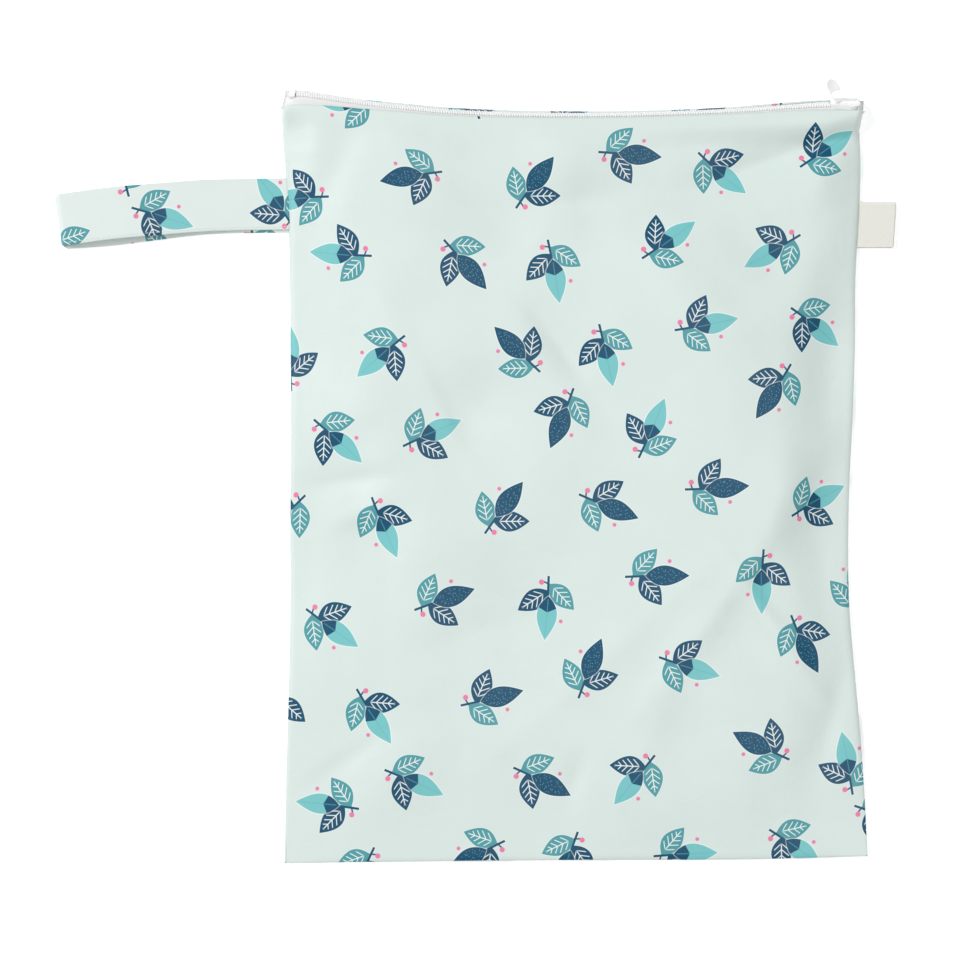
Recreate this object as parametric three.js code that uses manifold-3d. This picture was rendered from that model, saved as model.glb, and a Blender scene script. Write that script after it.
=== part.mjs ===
// A zipped wet bag lying flat on its back: two sewn cloth panels, a coil zip, a wrist strap and a side label.
// Lengths are millimetres. X runs across the bag, Y from its bottom edge up to the zip, and Z up from the
// surface that it lies on. The origin is the middle of the flat underside.
import * as THREE from 'three'
import { mergeVertices } from 'three/addons/utils/BufferGeometryUtils.js'
import Module from 'manifold-3d'

const wasm = await Module()
wasm.setup()

// Driving sizes of the cloth body
const bagWidth = 301.5
const bagHeight = 400
const bagPuff = 15
const panelWall = 1.2
const seamHeight = 2.2
const seamGap = 0.3
const sideRound = 40
const bottomRound = 34
const edgeFullness = 0.84
const foldDepth = 3
const shoulder = 18
const endRound = 2

// Driving sizes of the zip
const zipStand = 8.2
const coilWidth = 4
const coilThick = 1.8
const tapeWall = 1
const tapeReveal = 5.4
const frontTuck = 2.2
const backTuck = 0.4
const lipReach = 1
const lipTurn = 3.4
const lipRun = 9
const stopLength = 3.4
const stopMargin = 2.2
const tapeMargin = 3.9
const stopWall = 0.8

// Driving sizes of the slider and its pull
const sliderLength = 15
const sliderInset = 10
const sliderRear = 6.6
const sliderShoulders = 8.6
const plateThick = 0.8
const runClearance = 0.3
const flangeWall = 0.8
const postWidth = 2.2
const crownWire = 1.15
const crownClear = 1.9
const pullLength = 12.4
const pullWidth = 7.2
const pullThick = 0.9
const eyeLength = 4.6
const eyeWidth = 5.6
const pullYaw = 52
const pullRest = 40

// Driving sizes of the strap and the label
const strapWidth = 26.6
const strapReach = 118
const strapWall = 1.6
const strapRise = 8.6
const strapPlace = 140.7
const sideGap = 0.5
const labelReach = 18.3
const labelHeight = 23.5
const labelWall = 1
const labelFold = 1.2
const labelPlace = 130

// How far each side seam stands in from half the width, as shares of the width, at shares of the height.
const sideRows = [
  { at: 0, left: 0, right: 0 },
  { at: 0.08, left: 0.0022, right: 0.005 },
  { at: 0.16, left: 0.0048, right: 0.012 },
  { at: 0.24, left: 0.0078, right: 0.0215 },
  { at: 0.34, left: 0.0102, right: 0.032 },
  { at: 0.47, left: 0.0102, right: 0.0324 },
  { at: 0.56, left: 0.011, right: 0.027 },
  { at: 0.66, left: 0.0106, right: 0.0222 },
  { at: 0.76, left: 0.0092, right: 0.0208 },
  { at: 0.86, left: 0.0052, right: 0.0134 },
  { at: 0.92, left: -0.001, right: 0.0128 },
  { at: 0.945, left: -0.0035, right: 0.0145 },
  { at: 0.97, left: -0.0042, right: 0.0085 },
  { at: 1, left: 0.003, right: 0.009 },
]

// How far the bottom edge stands up from its left corner, as shares of the height, at shares of the width.
const bottomRows = [
  { at: 0, lift: 0 },
  { at: 0.2, lift: 0.0019 },
  { at: 0.5, lift: 0.0039 },
  { at: 0.8, lift: 0.0048 },
  { at: 1, lift: 0.009 },
]

// The zip at shares of its length: how far the front panel's edge drops below the top, as a share of the height;
// how far the zip leans over from lying face up, in degrees; how high its coil stands, as a share of zipStand;
// how much tape shows at the front and at the back, as shares of tapeReveal; and how far the back panel passes
// the zip, as a share of lipReach.
const zipRows = [
  { at: 0, drop: 0.0242, lean: 32, stand: 0.92, frontShow: 1.12, backShow: 0.15, lip: 0 },
  { at: 0.03, drop: 0.0222, lean: 41, stand: 0.94, frontShow: 1.16, backShow: 0.15, lip: 0 },
  { at: 0.067, drop: 0.0236, lean: 47, stand: 0.96, frontShow: 1.08, backShow: 0.15, lip: 0.1 },
  { at: 0.13, drop: 0.0274, lean: 54, stand: 0.98, frontShow: 0.9, backShow: 0.2, lip: 0.2 },
  { at: 0.19, drop: 0.0306, lean: 58, stand: 1, frontShow: 0.76, backShow: 0.2, lip: 0.4 },
  { at: 0.28, drop: 0.0355, lean: 62, stand: 1, frontShow: 0.62, backShow: 0.2, lip: 0.7 },
  { at: 0.5, drop: 0.0391, lean: 66, stand: 1, frontShow: 0.55, backShow: 0.2, lip: 1 },
  { at: 0.77, drop: 0.0338, lean: 64, stand: 1, frontShow: 0.5, backShow: 0.2, lip: 0.7 },
  { at: 0.88, drop: 0.0297, lean: 56, stand: 1, frontShow: 0.5, backShow: 0.42, lip: 0.3 },
  { at: 0.93, drop: 0.0288, lean: 50, stand: 1, frontShow: 0.56, backShow: 0.54, lip: 0 },
  { at: 0.965, drop: 0.0292, lean: 49, stand: 0.99, frontShow: 0.56, backShow: 0.54, lip: 0 },
  { at: 1, drop: 0.0296, lean: 48, stand: 0.98, frontShow: 0.56, backShow: 0.54, lip: 0 },
]

// Soft folds of the front panel. across and up place the middle, as shares of the width and the height; turn is
// the fold's direction in degrees from X; long and wide are its half sizes, as shares of the width; rise is its
// height, as a share of foldDepth, where a dent is negative.
const foldRows = [
  { across: 0.87, up: 0.938, turn: 8, long: 0.2, wide: 0.03, rise: -1 },
  { across: 0.84, up: 0.905, turn: 14, long: 0.2, wide: 0.035, rise: 0.7 },
  { across: 0.6, up: 0.9, turn: 24, long: 0.22, wide: 0.05, rise: -0.6 },
  { across: 0.8, up: 0.8, turn: 40, long: 0.12, wide: 0.09, rise: -0.7 },
  { across: 0.93, up: 0.63, turn: 80, long: 0.16, wide: 0.05, rise: -0.9 },
  { across: 0.84, up: 0.5, turn: 52, long: 0.2, wide: 0.045, rise: 0.6 },
  { across: 0.92, up: 0.4, turn: 96, long: 0.16, wide: 0.05, rise: -1 },
  { across: 0.8, up: 0.34, turn: -50, long: 0.2, wide: 0.04, rise: 0.55 },
  { across: 0.7, up: 0.26, turn: 58, long: 0.18, wide: 0.05, rise: 0.4 },
  { across: 0.94, up: 0.17, turn: 60, long: 0.1, wide: 0.03, rise: -0.6 },
  { across: 0.52, up: 0.64, turn: -62, long: 0.14, wide: 0.045, rise: -0.6 },
  { across: 0.7, up: 0.6, turn: -66, long: 0.18, wide: 0.06, rise: 0.5 },
  { across: 0.1, up: 0.53, turn: 35, long: 0.1, wide: 0.035, rise: -0.9 },
  { across: 0.08, up: 0.44, turn: 80, long: 0.1, wide: 0.03, rise: 0.5 },
  { across: 0.07, up: 0.87, turn: 66, long: 0.14, wide: 0.03, rise: -0.7 },
  { across: 0.1, up: 0.1, turn: 42, long: 0.14, wide: 0.03, rise: -0.8 },
  { across: 0.15, up: 0.16, turn: 40, long: 0.16, wide: 0.04, rise: 0.4 },
]

// The strap from the seam to its fold: how far its middle drops towards the bottom, as shares of strapReach, and
// how far the lower run lies below the upper one, as shares of strapWidth.
const strapRows = [
  { at: 0, drop: 0, slip: 0.05 },
  { at: 0.36, drop: 0.009, slip: 0.05 },
  { at: 0.57, drop: 0.026, slip: 0.075 },
  { at: 0.78, drop: 0.045, slip: 0.11 },
  { at: 1, drop: 0.076, slip: 0.04 },
]

const { clamp, degToRad, lerp, smoothstep } = THREE.MathUtils

// One column of a table at a place along it, on a smooth curve through the rows.
function valueAt(table, column, at) {
  const last = table.length - 1
  let i = 0
  while (i < last - 1 && table[i + 1].at < at) i++
  const slope = (a, b) => (table[b][column] - table[a][column]) / (table[b].at - table[a].at)
  const here = slope(i, i + 1)
  const startSlope = i > 0 ? (here + slope(i - 1, i)) / 2 : here
  const endSlope = i < last - 1 ? (here + slope(i + 1, i + 2)) / 2 : here
  const span = table[i + 1].at - table[i].at
  const t = clamp((at - table[i].at) / span, 0, 1)
  const [t2, t3] = [t * t, t * t * t]
  return (
    (2 * t3 - 3 * t2 + 1) * table[i][column] +
    (t3 - 2 * t2 + t) * span * startSlope +
    (3 * t2 - 2 * t3) * table[i + 1][column] +
    (t3 - t2) * span * endSlope
  )
}

// Height of a quarter round, from 0 at its foot to 1 past its radius.
const quarterRound = (distance, radius) => Math.sqrt(1 - (1 - clamp(distance / radius, 0, 1)) ** 2)

// The bag's outline seen from above
const upShare = (y) => clamp(y / bagHeight + 0.5, 0, 1)
const leftSeam = (y) => -bagWidth / 2 + bagWidth * valueAt(sideRows, 'left', upShare(y))
const rightSeam = (y) => bagWidth / 2 - bagWidth * valueAt(sideRows, 'right', upShare(y))
const planX = (u, y) => lerp(leftSeam(y), rightSeam(y), u)
const bottomY = (u) => bagHeight * (valueAt(bottomRows, 'lift', u) - 0.5)

// Heights in the zip's own section: 0 is the coil's middle, and the tape lies under the coil.
const tapeTop = -coilThick / 2 - seamGap
const panelTop = tapeTop + seamGap + panelWall

// The zip's section at a share of its length. point(d, h) is d across the zip, from front to back, and h above it.
function zipSection(u) {
  const lean = degToRad(valueAt(zipRows, 'lean', u))
  const show = (column) => coilWidth / 2 + tapeReveal * valueAt(zipRows, column, u)
  const [front, back] = [show('frontShow'), show('backShow')]
  const edgeY = bagHeight * (0.5 - valueAt(zipRows, 'drop', u))
  const coilY = edgeY + front * Math.cos(lean) - panelTop * Math.sin(lean)
  const coilZ = zipStand * valueAt(zipRows, 'stand', u)
  const point = (d, h) => {
    const y = coilY + d * Math.cos(lean) + h * Math.sin(lean)
    return new THREE.Vector3(planX(u, y), y, coilZ - d * Math.sin(lean) + h * Math.cos(lean))
  }
  return { lean, front, back, edgeY, point }
}

// Sum of the soft folds at a share across and up the bag.
function foldsAt(across, up) {
  return foldRows.reduce((sum, fold) => {
    const turn = degToRad(fold.turn)
    const dx = across - fold.across
    const dy = ((up - fold.up) * bagHeight) / bagWidth
    const a = (dx * Math.cos(turn) + dy * Math.sin(turn)) / fold.long
    const b = (dy * Math.cos(turn) - dx * Math.sin(turn)) / fold.wide
    return sum + foldDepth * fold.rise * Math.exp(-a * a - b * b)
  }, 0)
}

// The front panel rises from the seams to the flat of the bag. Its height there is domed and has the soft folds.
const frontSeam = seamHeight + seamGap / 2
const sideRise = (u, radius) => quarterRound(Math.min(u, 1 - u) * bagWidth, radius)
function flatHeight(u, y) {
  const dome = lerp(edgeFullness, 1, Math.sin(Math.PI * u) * Math.sin(Math.PI * upShare(y)))
  return frontSeam + (bagPuff - frontSeam) * dome + foldsAt(u, upShare(y))
}
function frontPoint(u, y) {
  const rise = sideRise(u, sideRound) * quarterRound(y - bottomY(u), bottomRound)
  return new THREE.Vector3(planX(u, y), y, lerp(frontSeam, flatHeight(u, y), rise))
}

// Point of a cubic curve through the section plane, from one end to the other by way of two handles
function sectionCurve(u, ends, t) {
  const curve = new THREE.CubicBezierCurve(...ends.map(([y, z]) => new THREE.Vector2(y, z)))
  const { x: y, y: z } = curve.getPoint(t)
  return new THREE.Vector3(planX(u, y), y, z)
}

// The front panel's shoulder, which turns down from the flat of the bag to the zip's slope. At its sides it comes
// down to the seams, in a round that tightens towards the zip.
function shoulderPoint(u, t) {
  const zip = zipSection(u)
  const startY = zip.edgeY - shoulder
  const startZ = flatHeight(u, startY)
  const end = zip.point(-zip.front, panelTop)
  const handle = zip.point(-zip.front - shoulder * 0.4, panelTop)
  const ends = [[startY, startZ], [startY + shoulder * 0.45, startZ], [handle.y, handle.z], [end.y, end.z]]
  const point = sectionCurve(u, ends, t)
  point.z = lerp(frontSeam, point.z, sideRise(u, lerp(sideRound, endRound, Math.cbrt(t))))
  return point
}

// The back panel's lip, which turns up from the surface, round past the zip and back to the tape
function lipPoint(u, t) {
  const zip = zipSection(u)
  const end = zip.point(zip.back, panelTop)
  const turn = zip.point(zip.back + lipTurn, panelTop)
  const out = lipReach * valueAt(zipRows, 'lip', u)
  const start = end.y - lipRun
  const foot = backHeight(u, start)
  const ends = [[start, foot], [turn.y + out, foot], [turn.y + out, turn.z], [end.y, end.z]]
  return sectionCurve(u, ends, t)
}

// Outer face of the back panel: flat on the surface, and turned up to the seams
function backHeight(u, y) {
  const seam = seamHeight - seamGap / 2
  const fromSide = Math.min(u, 1 - u) * bagWidth
  return seam * (1 - quarterRound(fromSide, seam) * quarterRound(y - bottomY(u), seam))
}

// Closed wall on one side of a grid of points. The points are its outer face, with rows turning left from columns
// as seen from outside, and the wall's other face lies a thickness behind them. Where level says so, an edge is cut
// level instead of square.
function wallOf(outer, thickness, level = () => false) {
  const rows = outer.length
  const columns = outer[0].length
  const near = (i, count) => [Math.max(i - 1, 0), Math.min(i + 1, count - 1)]
  const positions = outer.flat().flatMap((p) => p.toArray())
  for (let i = 0; i < rows; i++) {
    for (let j = 0; j < columns; j++) {
      const [down, up] = near(i, rows)
      const [left, right] = near(j, columns)
      const alongColumns = outer[i][right].clone().sub(outer[i][left])
      const alongRows = outer[up][j].clone().sub(outer[down][j])
      const normal = alongColumns.cross(alongRows).normalize()
      const inner = outer[i][j].clone().addScaledVector(normal, -thickness)
      if (level(i, j)) inner.z = outer[i][j].z
      positions.push(...inner.toArray())
    }
  }
  const front = (i, j) => i * columns + j
  const behind = rows * columns
  const index = []
  const quad = (a, b, c, d) => index.push(a, b, c, a, c, d)
  const rim = (a, b) => quad(b, a, a + behind, b + behind)
  for (let i = 0; i < rows - 1; i++) {
    for (let j = 0; j < columns - 1; j++) {
      const corners = [front(i, j), front(i, j + 1), front(i + 1, j + 1), front(i + 1, j)]
      quad(...corners)
      quad(...corners.map((k) => k + behind).reverse())
    }
    rim(front(i, columns - 1), front(i + 1, columns - 1))
    rim(front(i + 1, 0), front(i, 0))
  }
  for (let j = 0; j < columns - 1; j++) {
    rim(front(0, j), front(0, j + 1))
    rim(front(rows - 1, j + 1), front(rows - 1, j))
  }
  return meshGeometry(positions, index)
}

// Solid through a row of rings that all have the same number of points, with flat ends
function loftOf(rings) {
  const sides = rings[0].length
  const positions = rings.flat().flatMap((p) => p.toArray())
  const index = []
  for (let i = 0; i < rings.length - 1; i++) {
    for (let k = 0; k < sides; k++) {
      const [a, b] = [i * sides + k, i * sides + ((k + 1) % sides)]
      index.push(a, b, b + sides, a, b + sides, a + sides)
    }
  }
  const last = (rings.length - 1) * sides
  for (let k = 1; k < sides - 1; k++) {
    index.push(0, k + 1, k)
    index.push(last, last + k, last + k + 1)
  }
  return meshGeometry(positions, index)
}

function meshGeometry(positions, index) {
  const geometry = new THREE.BufferGeometry()
  geometry.setAttribute('position', new THREE.Float32BufferAttribute(positions, 3))
  geometry.setIndex(index)
  geometry.computeVertexNormals()
  return geometry
}

// Cutting and joining of hard pieces
function solidOf(geometry) {
  const bare = geometry.clone()
  bare.deleteAttribute('normal')
  bare.deleteAttribute('uv')
  const merged = mergeVertices(bare, 1e-4)
  const triVerts = new Uint32Array(merged.index.array)
  const vertProperties = new Float32Array(merged.attributes.position.array)
  return new wasm.Manifold(new wasm.Mesh({ numProp: 3, vertProperties, triVerts }))
}

function geometryOf(solid) {
  const { vertProperties, triVerts } = solid.getMesh()
  return meshGeometry(Array.from(vertProperties), Array.from(triVerts))
}

function plateOf(outline, low, high, steps = 4) {
  const shape = outline instanceof THREE.Shape ? outline : new THREE.Shape(outline)
  const options = { depth: high - low, bevelEnabled: false, curveSegments: steps }
  return new THREE.ExtrudeGeometry(shape, options).translate(0, 0, low)
}

const at = (x, y) => new THREE.Vector2(x, y)

// Places across the bag, as shares: close together on the side rounds, with one more at the zip's end rounds, and
// even between them
const sideSteps = 6
const middleSteps = 16
function sharesAcross() {
  const shares = []
  for (let k = 0; k <= sideSteps; k++) {
    const turn = (Math.PI / 2) * (k / sideSteps)
    shares.push((sideRound / bagWidth) * (1 - Math.cos(turn)))
  }
  shares.splice(2, 0, (endRound * 1.5) / bagWidth)
  const [first, last] = [shares.at(-1), 1 - shares.at(-1)]
  const middle = []
  for (let k = 1; k < middleSteps; k++) middle.push(lerp(first, last, k / middleSteps))
  return [...shares, ...middle, ...shares.map((share) => 1 - share).reverse()]
}
const across = sharesAcross()

// The front panel: a row of points for the seam, the bottom round, the flat of the bag and the shoulder
const bottomSteps = 5
const flatSteps = 19
const shoulderSteps = 4
function frontPanel() {
  const rows = []
  const rowAt = (place) => rows.push(across.map(place))
  for (let k = 0; k <= bottomSteps; k++) {
    const reach = bottomRound * (1 - Math.cos((Math.PI / 2) * (k / bottomSteps)))
    rowAt((u) => frontPoint(u, bottomY(u) + reach))
  }
  for (let k = 1; k <= flatSteps; k++) {
    rowAt((u) => frontPoint(u, lerp(bottomY(u) + bottomRound, zipSection(u).edgeY - shoulder, k / flatSteps)))
  }
  for (let k = 1; k <= shoulderSteps; k++) rowAt((u) => shoulderPoint(u, (k / shoulderSteps) * tuckStart))
  rowAt((u) => shoulderPoint(u, 1))
  return wallOf(rows, panelWall, (i, j) => i === 0 || j === 0 || j === across.length - 1)
}

// Place on the shoulder where the tape's hidden edge ends
const tuckStart = 1 - frontTuck / (shoulder * 1.15)

// The back panel, seen from below, so that its rows run from the bottom to the lip with the columns turned round
const turnShare = (seamHeight * 0.2) / bagWidth
const acrossBack = [0, turnShare, ...across.slice(1, -1), 1 - turnShare, 1].reverse()
const underSteps = 3
const backSteps = 11
const lipSteps = 7
function backPanel() {
  const rows = []
  const turn = seamHeight - seamGap / 2
  const spot = (u, y) => new THREE.Vector3(planX(u, y), y, backHeight(u, y))
  for (let k = 0; k <= underSteps; k++) {
    const reach = turn * (1 - Math.cos((Math.PI / 2) * (k / underSteps)))
    rows.push(acrossBack.map((u) => spot(u, bottomY(u) + reach)))
  }
  for (let k = 1; k <= backSteps; k++) {
    const y = (u) => lerp(bottomY(u) + turn, lipPoint(u, 0).y, k / backSteps)
    rows.push(acrossBack.map((u) => spot(u, y(u))))
  }
  for (let k = 1; k <= lipSteps; k++) rows.push(acrossBack.map((u) => lipPoint(u, k / lipSteps)))
  const lastFlat = underSteps + backSteps
  return wallOf(rows, panelWall, (i, j) => i === 0 || (i <= lastFlat && (j === 0 || j === acrossBack.length - 1)))
}

// The slider sits near the right end of the zip, and its post holds the two tapes apart there.
const sliderShare = 1 - sliderInset / bagWidth
const postStart = sliderShare
const parting = (u) => seamGap / 2 + (postWidth / 2 + runClearance) * smoothstep(u, postStart - 6 / bagWidth, postStart)

// Places along the zip, with two more where the tapes part
const tapeEnd = tapeMargin / bagWidth
const inner = across.filter((u) => Math.min(u, 1 - u) > tapeEnd * 1.2)
const alongZip = [tapeEnd, ...inner, postStart - 6 / bagWidth, postStart, 1 - tapeEnd].sort((a, b) => a - b)

// Front tape: from beside the middle of the coil, out past the panel's edge, and on behind the shoulder
function frontTape() {
  const behind = panelWall + seamGap * 2
  const tucked = (u) => {
    const [p, q] = [shoulderPoint(u, tuckStart), shoulderPoint(u, tuckStart + 0.02)]
    const slope = Math.atan2(q.z - p.z, q.y - p.y)
    const y = p.y + behind * Math.sin(slope)
    return new THREE.Vector3(planX(u, y), y, p.z - behind * Math.cos(slope))
  }
  const rows = [
    alongZip.map(tucked),
    alongZip.map((u) => zipSection(u).point(-zipSection(u).front, tapeTop)),
    alongZip.map((u) => zipSection(u).point(-parting(u), tapeTop)),
  ]
  return wallOf(rows, tapeWall)
}

// Back tape: from beside the middle of the coil, out past the back panel's edge
function backTape() {
  const rows = [
    alongZip.map((u) => zipSection(u).point(parting(u), tapeTop)),
    alongZip.map((u) => zipSection(u).point(zipSection(u).back, tapeTop)),
    alongZip.map((u) => zipSection(u).point(zipSection(u).back + backTuck, tapeTop)),
  ]
  return wallOf(rows, tapeWall)
}

// Closed coil, as one bar of the chain's width, from the bottom stop into the slider
const coilSides = 8
const coilStart = (stopMargin + stopLength) / bagWidth
const coilEnd = postStart - 2 / bagWidth
function zipCoil() {
  const places = [coilStart + seamGap / bagWidth, ...across.filter((u) => u > coilStart * 1.3 && u < coilEnd), coilEnd]
  const ring = (u) =>
    Array.from({ length: coilSides }, (_, k) => {
      const turn = ((k + 0.5) / coilSides) * Math.PI * 2
      const square = (value) => Math.sign(value) * Math.abs(value) ** 0.7
      return zipSection(u).point((square(Math.cos(turn)) * coilWidth) / 2, (square(Math.sin(turn)) * coilThick) / 2)
    })
  return loftOf(places.map(ring))
}

// Moulded stop that closes the left end of the coil
function bottomStop() {
  const corner = 0.8
  const place = (x, d, h) => zipSection((stopMargin + x) / bagWidth).point(d, h)
  const [half, top] = [coilWidth / 2 + stopWall / 2, coilThick / 2 + stopWall / 2]
  const ring = (x) => [
    place(x, -half, tapeTop + seamGap),
    place(x, half, tapeTop + seamGap),
    place(x, half, top - corner),
    place(x, half - corner, top),
    place(x, corner - half, top),
    place(x, -half, top - corner),
  ]
  return loftOf([0, stopLength / 2, stopLength].map(ring))
}

// The slider in its own axes: X to its nose, Y across to the back tape and Z out of the zip's face
const halfLength = sliderLength / 2
const plateInner = coilThick / 2 + runClearance
const plateTop = plateInner + plateThick
const plateBottom = tapeTop - tapeWall - runClearance - plateThick
function sliderOutline(inset = 0) {
  const rear = sliderRear / 2 - inset
  const wide = sliderShoulders / 2 - inset
  const length = halfLength - inset
  const nose = wide * 0.5
  const shape = new THREE.Shape()
  shape.moveTo(-length, -rear * 0.86)
  shape.lineTo(sliderLength * 0.12, -wide)
  shape.quadraticCurveTo(sliderLength * 0.36, -wide, length, -nose)
  shape.quadraticCurveTo(length * 1.04, 0, length, nose)
  shape.quadraticCurveTo(sliderLength * 0.36, wide, sliderLength * 0.12, wide)
  shape.lineTo(-length, rear * 0.86)
  shape.closePath()
  return shape
}

// Round wire arch over the plate: up at the rear, along above the pull's end bar, and down to the nose
const crownLeg = -0.35 * sliderLength
const crownTop = plateTop + crownClear + crownWire / 2
function crownArch() {
  const foot = plateTop - plateThick / 2
  const bend = crownWire * 0.55
  const line = [
    at(crownLeg, foot),
    at(crownLeg, crownTop - bend),
    at(crownLeg + bend, crownTop),
    at(0, crownTop),
    at(halfLength * 0.45, crownTop),
    at(halfLength * 0.7, crownTop - bend * 0.8),
    at(halfLength * 0.86, crownTop - crownClear * 0.65),
    at(halfLength * 0.93, foot),
  ]
  const sides = 10
  const rings = line.map((p, i) => {
    const before = line[Math.max(i - 1, 0)]
    const after = line[Math.min(i + 1, line.length - 1)]
    const level = i === 0 || i === line.length - 1
    const along = level ? at(0, i === 0 ? 1 : -1) : after.clone().sub(before).normalize()
    return Array.from({ length: sides }, (_, k) => {
      const turn = (k / sides) * Math.PI * 2
      const [rise, aside] = [(crownWire / 2) * Math.cos(turn), (-crownWire / 2) * Math.sin(turn)]
      return new THREE.Vector3(p.x - along.y * rise, aside, p.y + along.x * rise)
    })
  })
  return loftOf(rings)
}

function zipSlider() {
  const bottom = solidOf(plateOf(sliderOutline(), plateBottom, plateBottom + plateThick))
  const flangeFoot = tapeTop + runClearance
  const channel = coilWidth / 2 + runClearance
  const mouth = sliderShoulders / 2 - flangeWall
  const reach = halfLength + 1
  const turn = sliderLength * 0.1
  const inside = [at(-reach, -channel), at(-turn, -channel), at(turn, -mouth), at(reach, -mouth)]
  const mirrored = inside.map((p) => at(p.x, -p.y)).reverse()
  const hollow = solidOf(plateOf([...inside, ...mirrored], flangeFoot - 1, plateInner))
  const top = solidOf(plateOf(sliderOutline(), flangeFoot, plateTop)).subtract(hollow)
  const half = postWidth / 2
  const diamond = [at(runClearance, 0), at(2.4, -half), at(halfLength - 0.8, -half * 0.7), at(halfLength - 0.8, half * 0.7), at(2.4, half)]
  const post = solidOf(plateOf(diamond, plateBottom + plateThick / 2, plateTop - plateThick / 2))
  return geometryOf(top.add(bottom).add(post).add(solidOf(crownArch())))
}

// The pull in its own axes: X along its hinge under the crown, Y down its length
function zipPull() {
  const half = pullWidth / 2
  const back = pullThick / 2
  const tip = pullLength - back
  const neck = half * 0.9
  const shape = new THREE.Shape()
  shape.moveTo(-neck, -back)
  shape.lineTo(neck, -back)
  shape.lineTo(half, tip - half)
  shape.absarc(0, tip - half, half, 0, Math.PI, false)
  shape.closePath()
  const eye = new THREE.Path()
  const [wide, far, corner] = [eyeWidth / 2, back + eyeLength, 0.8]
  eye.moveTo(-wide, back)
  eye.lineTo(-wide, far - corner)
  eye.lineTo(corner - wide, far)
  eye.lineTo(wide - corner, far)
  eye.lineTo(wide, far - corner)
  eye.lineTo(wide, back)
  eye.closePath()
  shape.holes.push(eye)
  return plateOf(shape, -back, back, 8)
}

// A band that runs out from a seam, folds over and comes back above itself. reach is the distance from the seam
// to the fold, gap(s) the space between its runs, and side(s, upper) a run's middle along the seam.
function foldedBand({ start, out, reach, width, wall, floor, gap, side }) {
  const runSteps = 9
  const foldSteps = 6
  const stations = []
  const foldRadius = gap(1) / 2 + wall
  const straight = reach - foldRadius
  const share = (x) => clamp(x / reach, 0, 1)
  for (let k = 0; k <= runSteps; k++) {
    const x = (straight * k) / runSteps
    stations.push({ x, z: floor(share(x)), y: side(share(x), false), upper: 0 })
  }
  for (let k = 1; k < foldSteps; k++) {
    const turn = (Math.PI * k) / foldSteps
    const [low, high] = [side(share(straight), false), side(share(straight), true)]
    const z = floor(1) + foldRadius * (1 - Math.cos(turn))
    stations.push({ x: straight + foldRadius * Math.sin(turn), z, y: lerp(low, high, k / foldSteps) })
  }
  for (let k = runSteps; k >= 0; k--) {
    const x = (straight * k) / runSteps
    const s = share(x)
    stations.push({ x, z: floor(s) + gap(s) + 2 * wall, y: side(s, true) })
  }
  const point = ({ x, y, z }, half) => {
    const edge = y + half
    return new THREE.Vector3(start(edge) + out * x, edge, z)
  }
  const low = stations.map((station) => point(station, -width / 2))
  const high = stations.map((station) => point(station, width / 2))
  return wallOf(out > 0 ? [low, high].reverse() : [low, high], wall).clone()
}

// Wrist strap: its lower run lies on the surface, and its upper run rises towards the fold
function wristStrap() {
  const loose = strapRise - 2 * strapWall
  return foldedBand({
    start: (y) => leftSeam(y) - sideGap,
    out: -1,
    reach: strapReach,
    width: strapWidth,
    wall: strapWall,
    floor: () => 0,
    gap: (s) => lerp(seamGap, loose + seamGap, smoothstep(s, 0, 0.75)),
    side: (s, upper) =>
      strapPlace - strapReach * valueAt(strapRows, 'drop', s) - (upper ? 0 : strapWidth * valueAt(strapRows, 'slip', s)),
  })
}

// Side label: a short folded ribbon that leaves the seam level
function sideLabel() {
  const lift = seamHeight - labelWall - seamGap / 2
  return foldedBand({
    start: (y) => rightSeam(y) + sideGap,
    out: 1,
    reach: labelReach,
    width: labelHeight,
    wall: labelWall,
    floor: () => lift,
    gap: (s) => lerp(seamGap, labelFold, s),
    side: (s, upper) => labelPlace - (upper ? 0 : seamGap),
  })
}

// Materials
const cloth = () => new THREE.MeshStandardMaterial({ color: 0xdfe9e5, roughness: 0.55, metalness: 0 })
const white = (roughness) => new THREE.MeshStandardMaterial({ color: 0xf4f4f3, roughness, metalness: 0 })
const ribbon = () => new THREE.MeshStandardMaterial({ color: 0xeeede8, roughness: 0.5, metalness: 0 })

function named(name, geometry, material) {
  const mesh = new THREE.Mesh(geometry, material)
  mesh.name = name
  return mesh
}

// Assembly
const bag = new THREE.Group()
bag.add(named('front_panel', frontPanel(), cloth()))
bag.add(named('back_panel', backPanel(), cloth()))
bag.add(named('zip_tape_front', frontTape(), white(0.8)))
bag.add(named('zip_tape_back', backTape(), white(0.8)))
bag.add(named('zip_coil', zipCoil(), white(0.4)))
bag.add(named('zip_bottom_stop', bottomStop(), white(0.35)))
bag.add(named('wrist_strap', wristStrap(), cloth()))
bag.add(named('side_label', sideLabel(), ribbon()))

// The slider's axes follow the zip where it sits.
const sliderSpot = zipSection(sliderShare)
const origin = sliderSpot.point(0, 0)
const ahead = zipSection(sliderShare + 4 / bagWidth).point(0, 0)
const astern = zipSection(sliderShare - 4 / bagWidth).point(0, 0)
const toNose = ahead.sub(astern).normalize()
const outOfFace = sliderSpot.point(0, 1).sub(origin)
outOfFace.x = 0
outOfFace.addScaledVector(toNose, -outOfFace.dot(toNose)).normalize()
const toBack = outOfFace.clone().cross(toNose)
const sliderGroup = new THREE.Group()
sliderGroup.applyMatrix4(new THREE.Matrix4().makeBasis(toNose, toBack, outOfFace).setPosition(origin))
sliderGroup.add(named('zip_slider', zipSlider(), white(0.3)))

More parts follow.
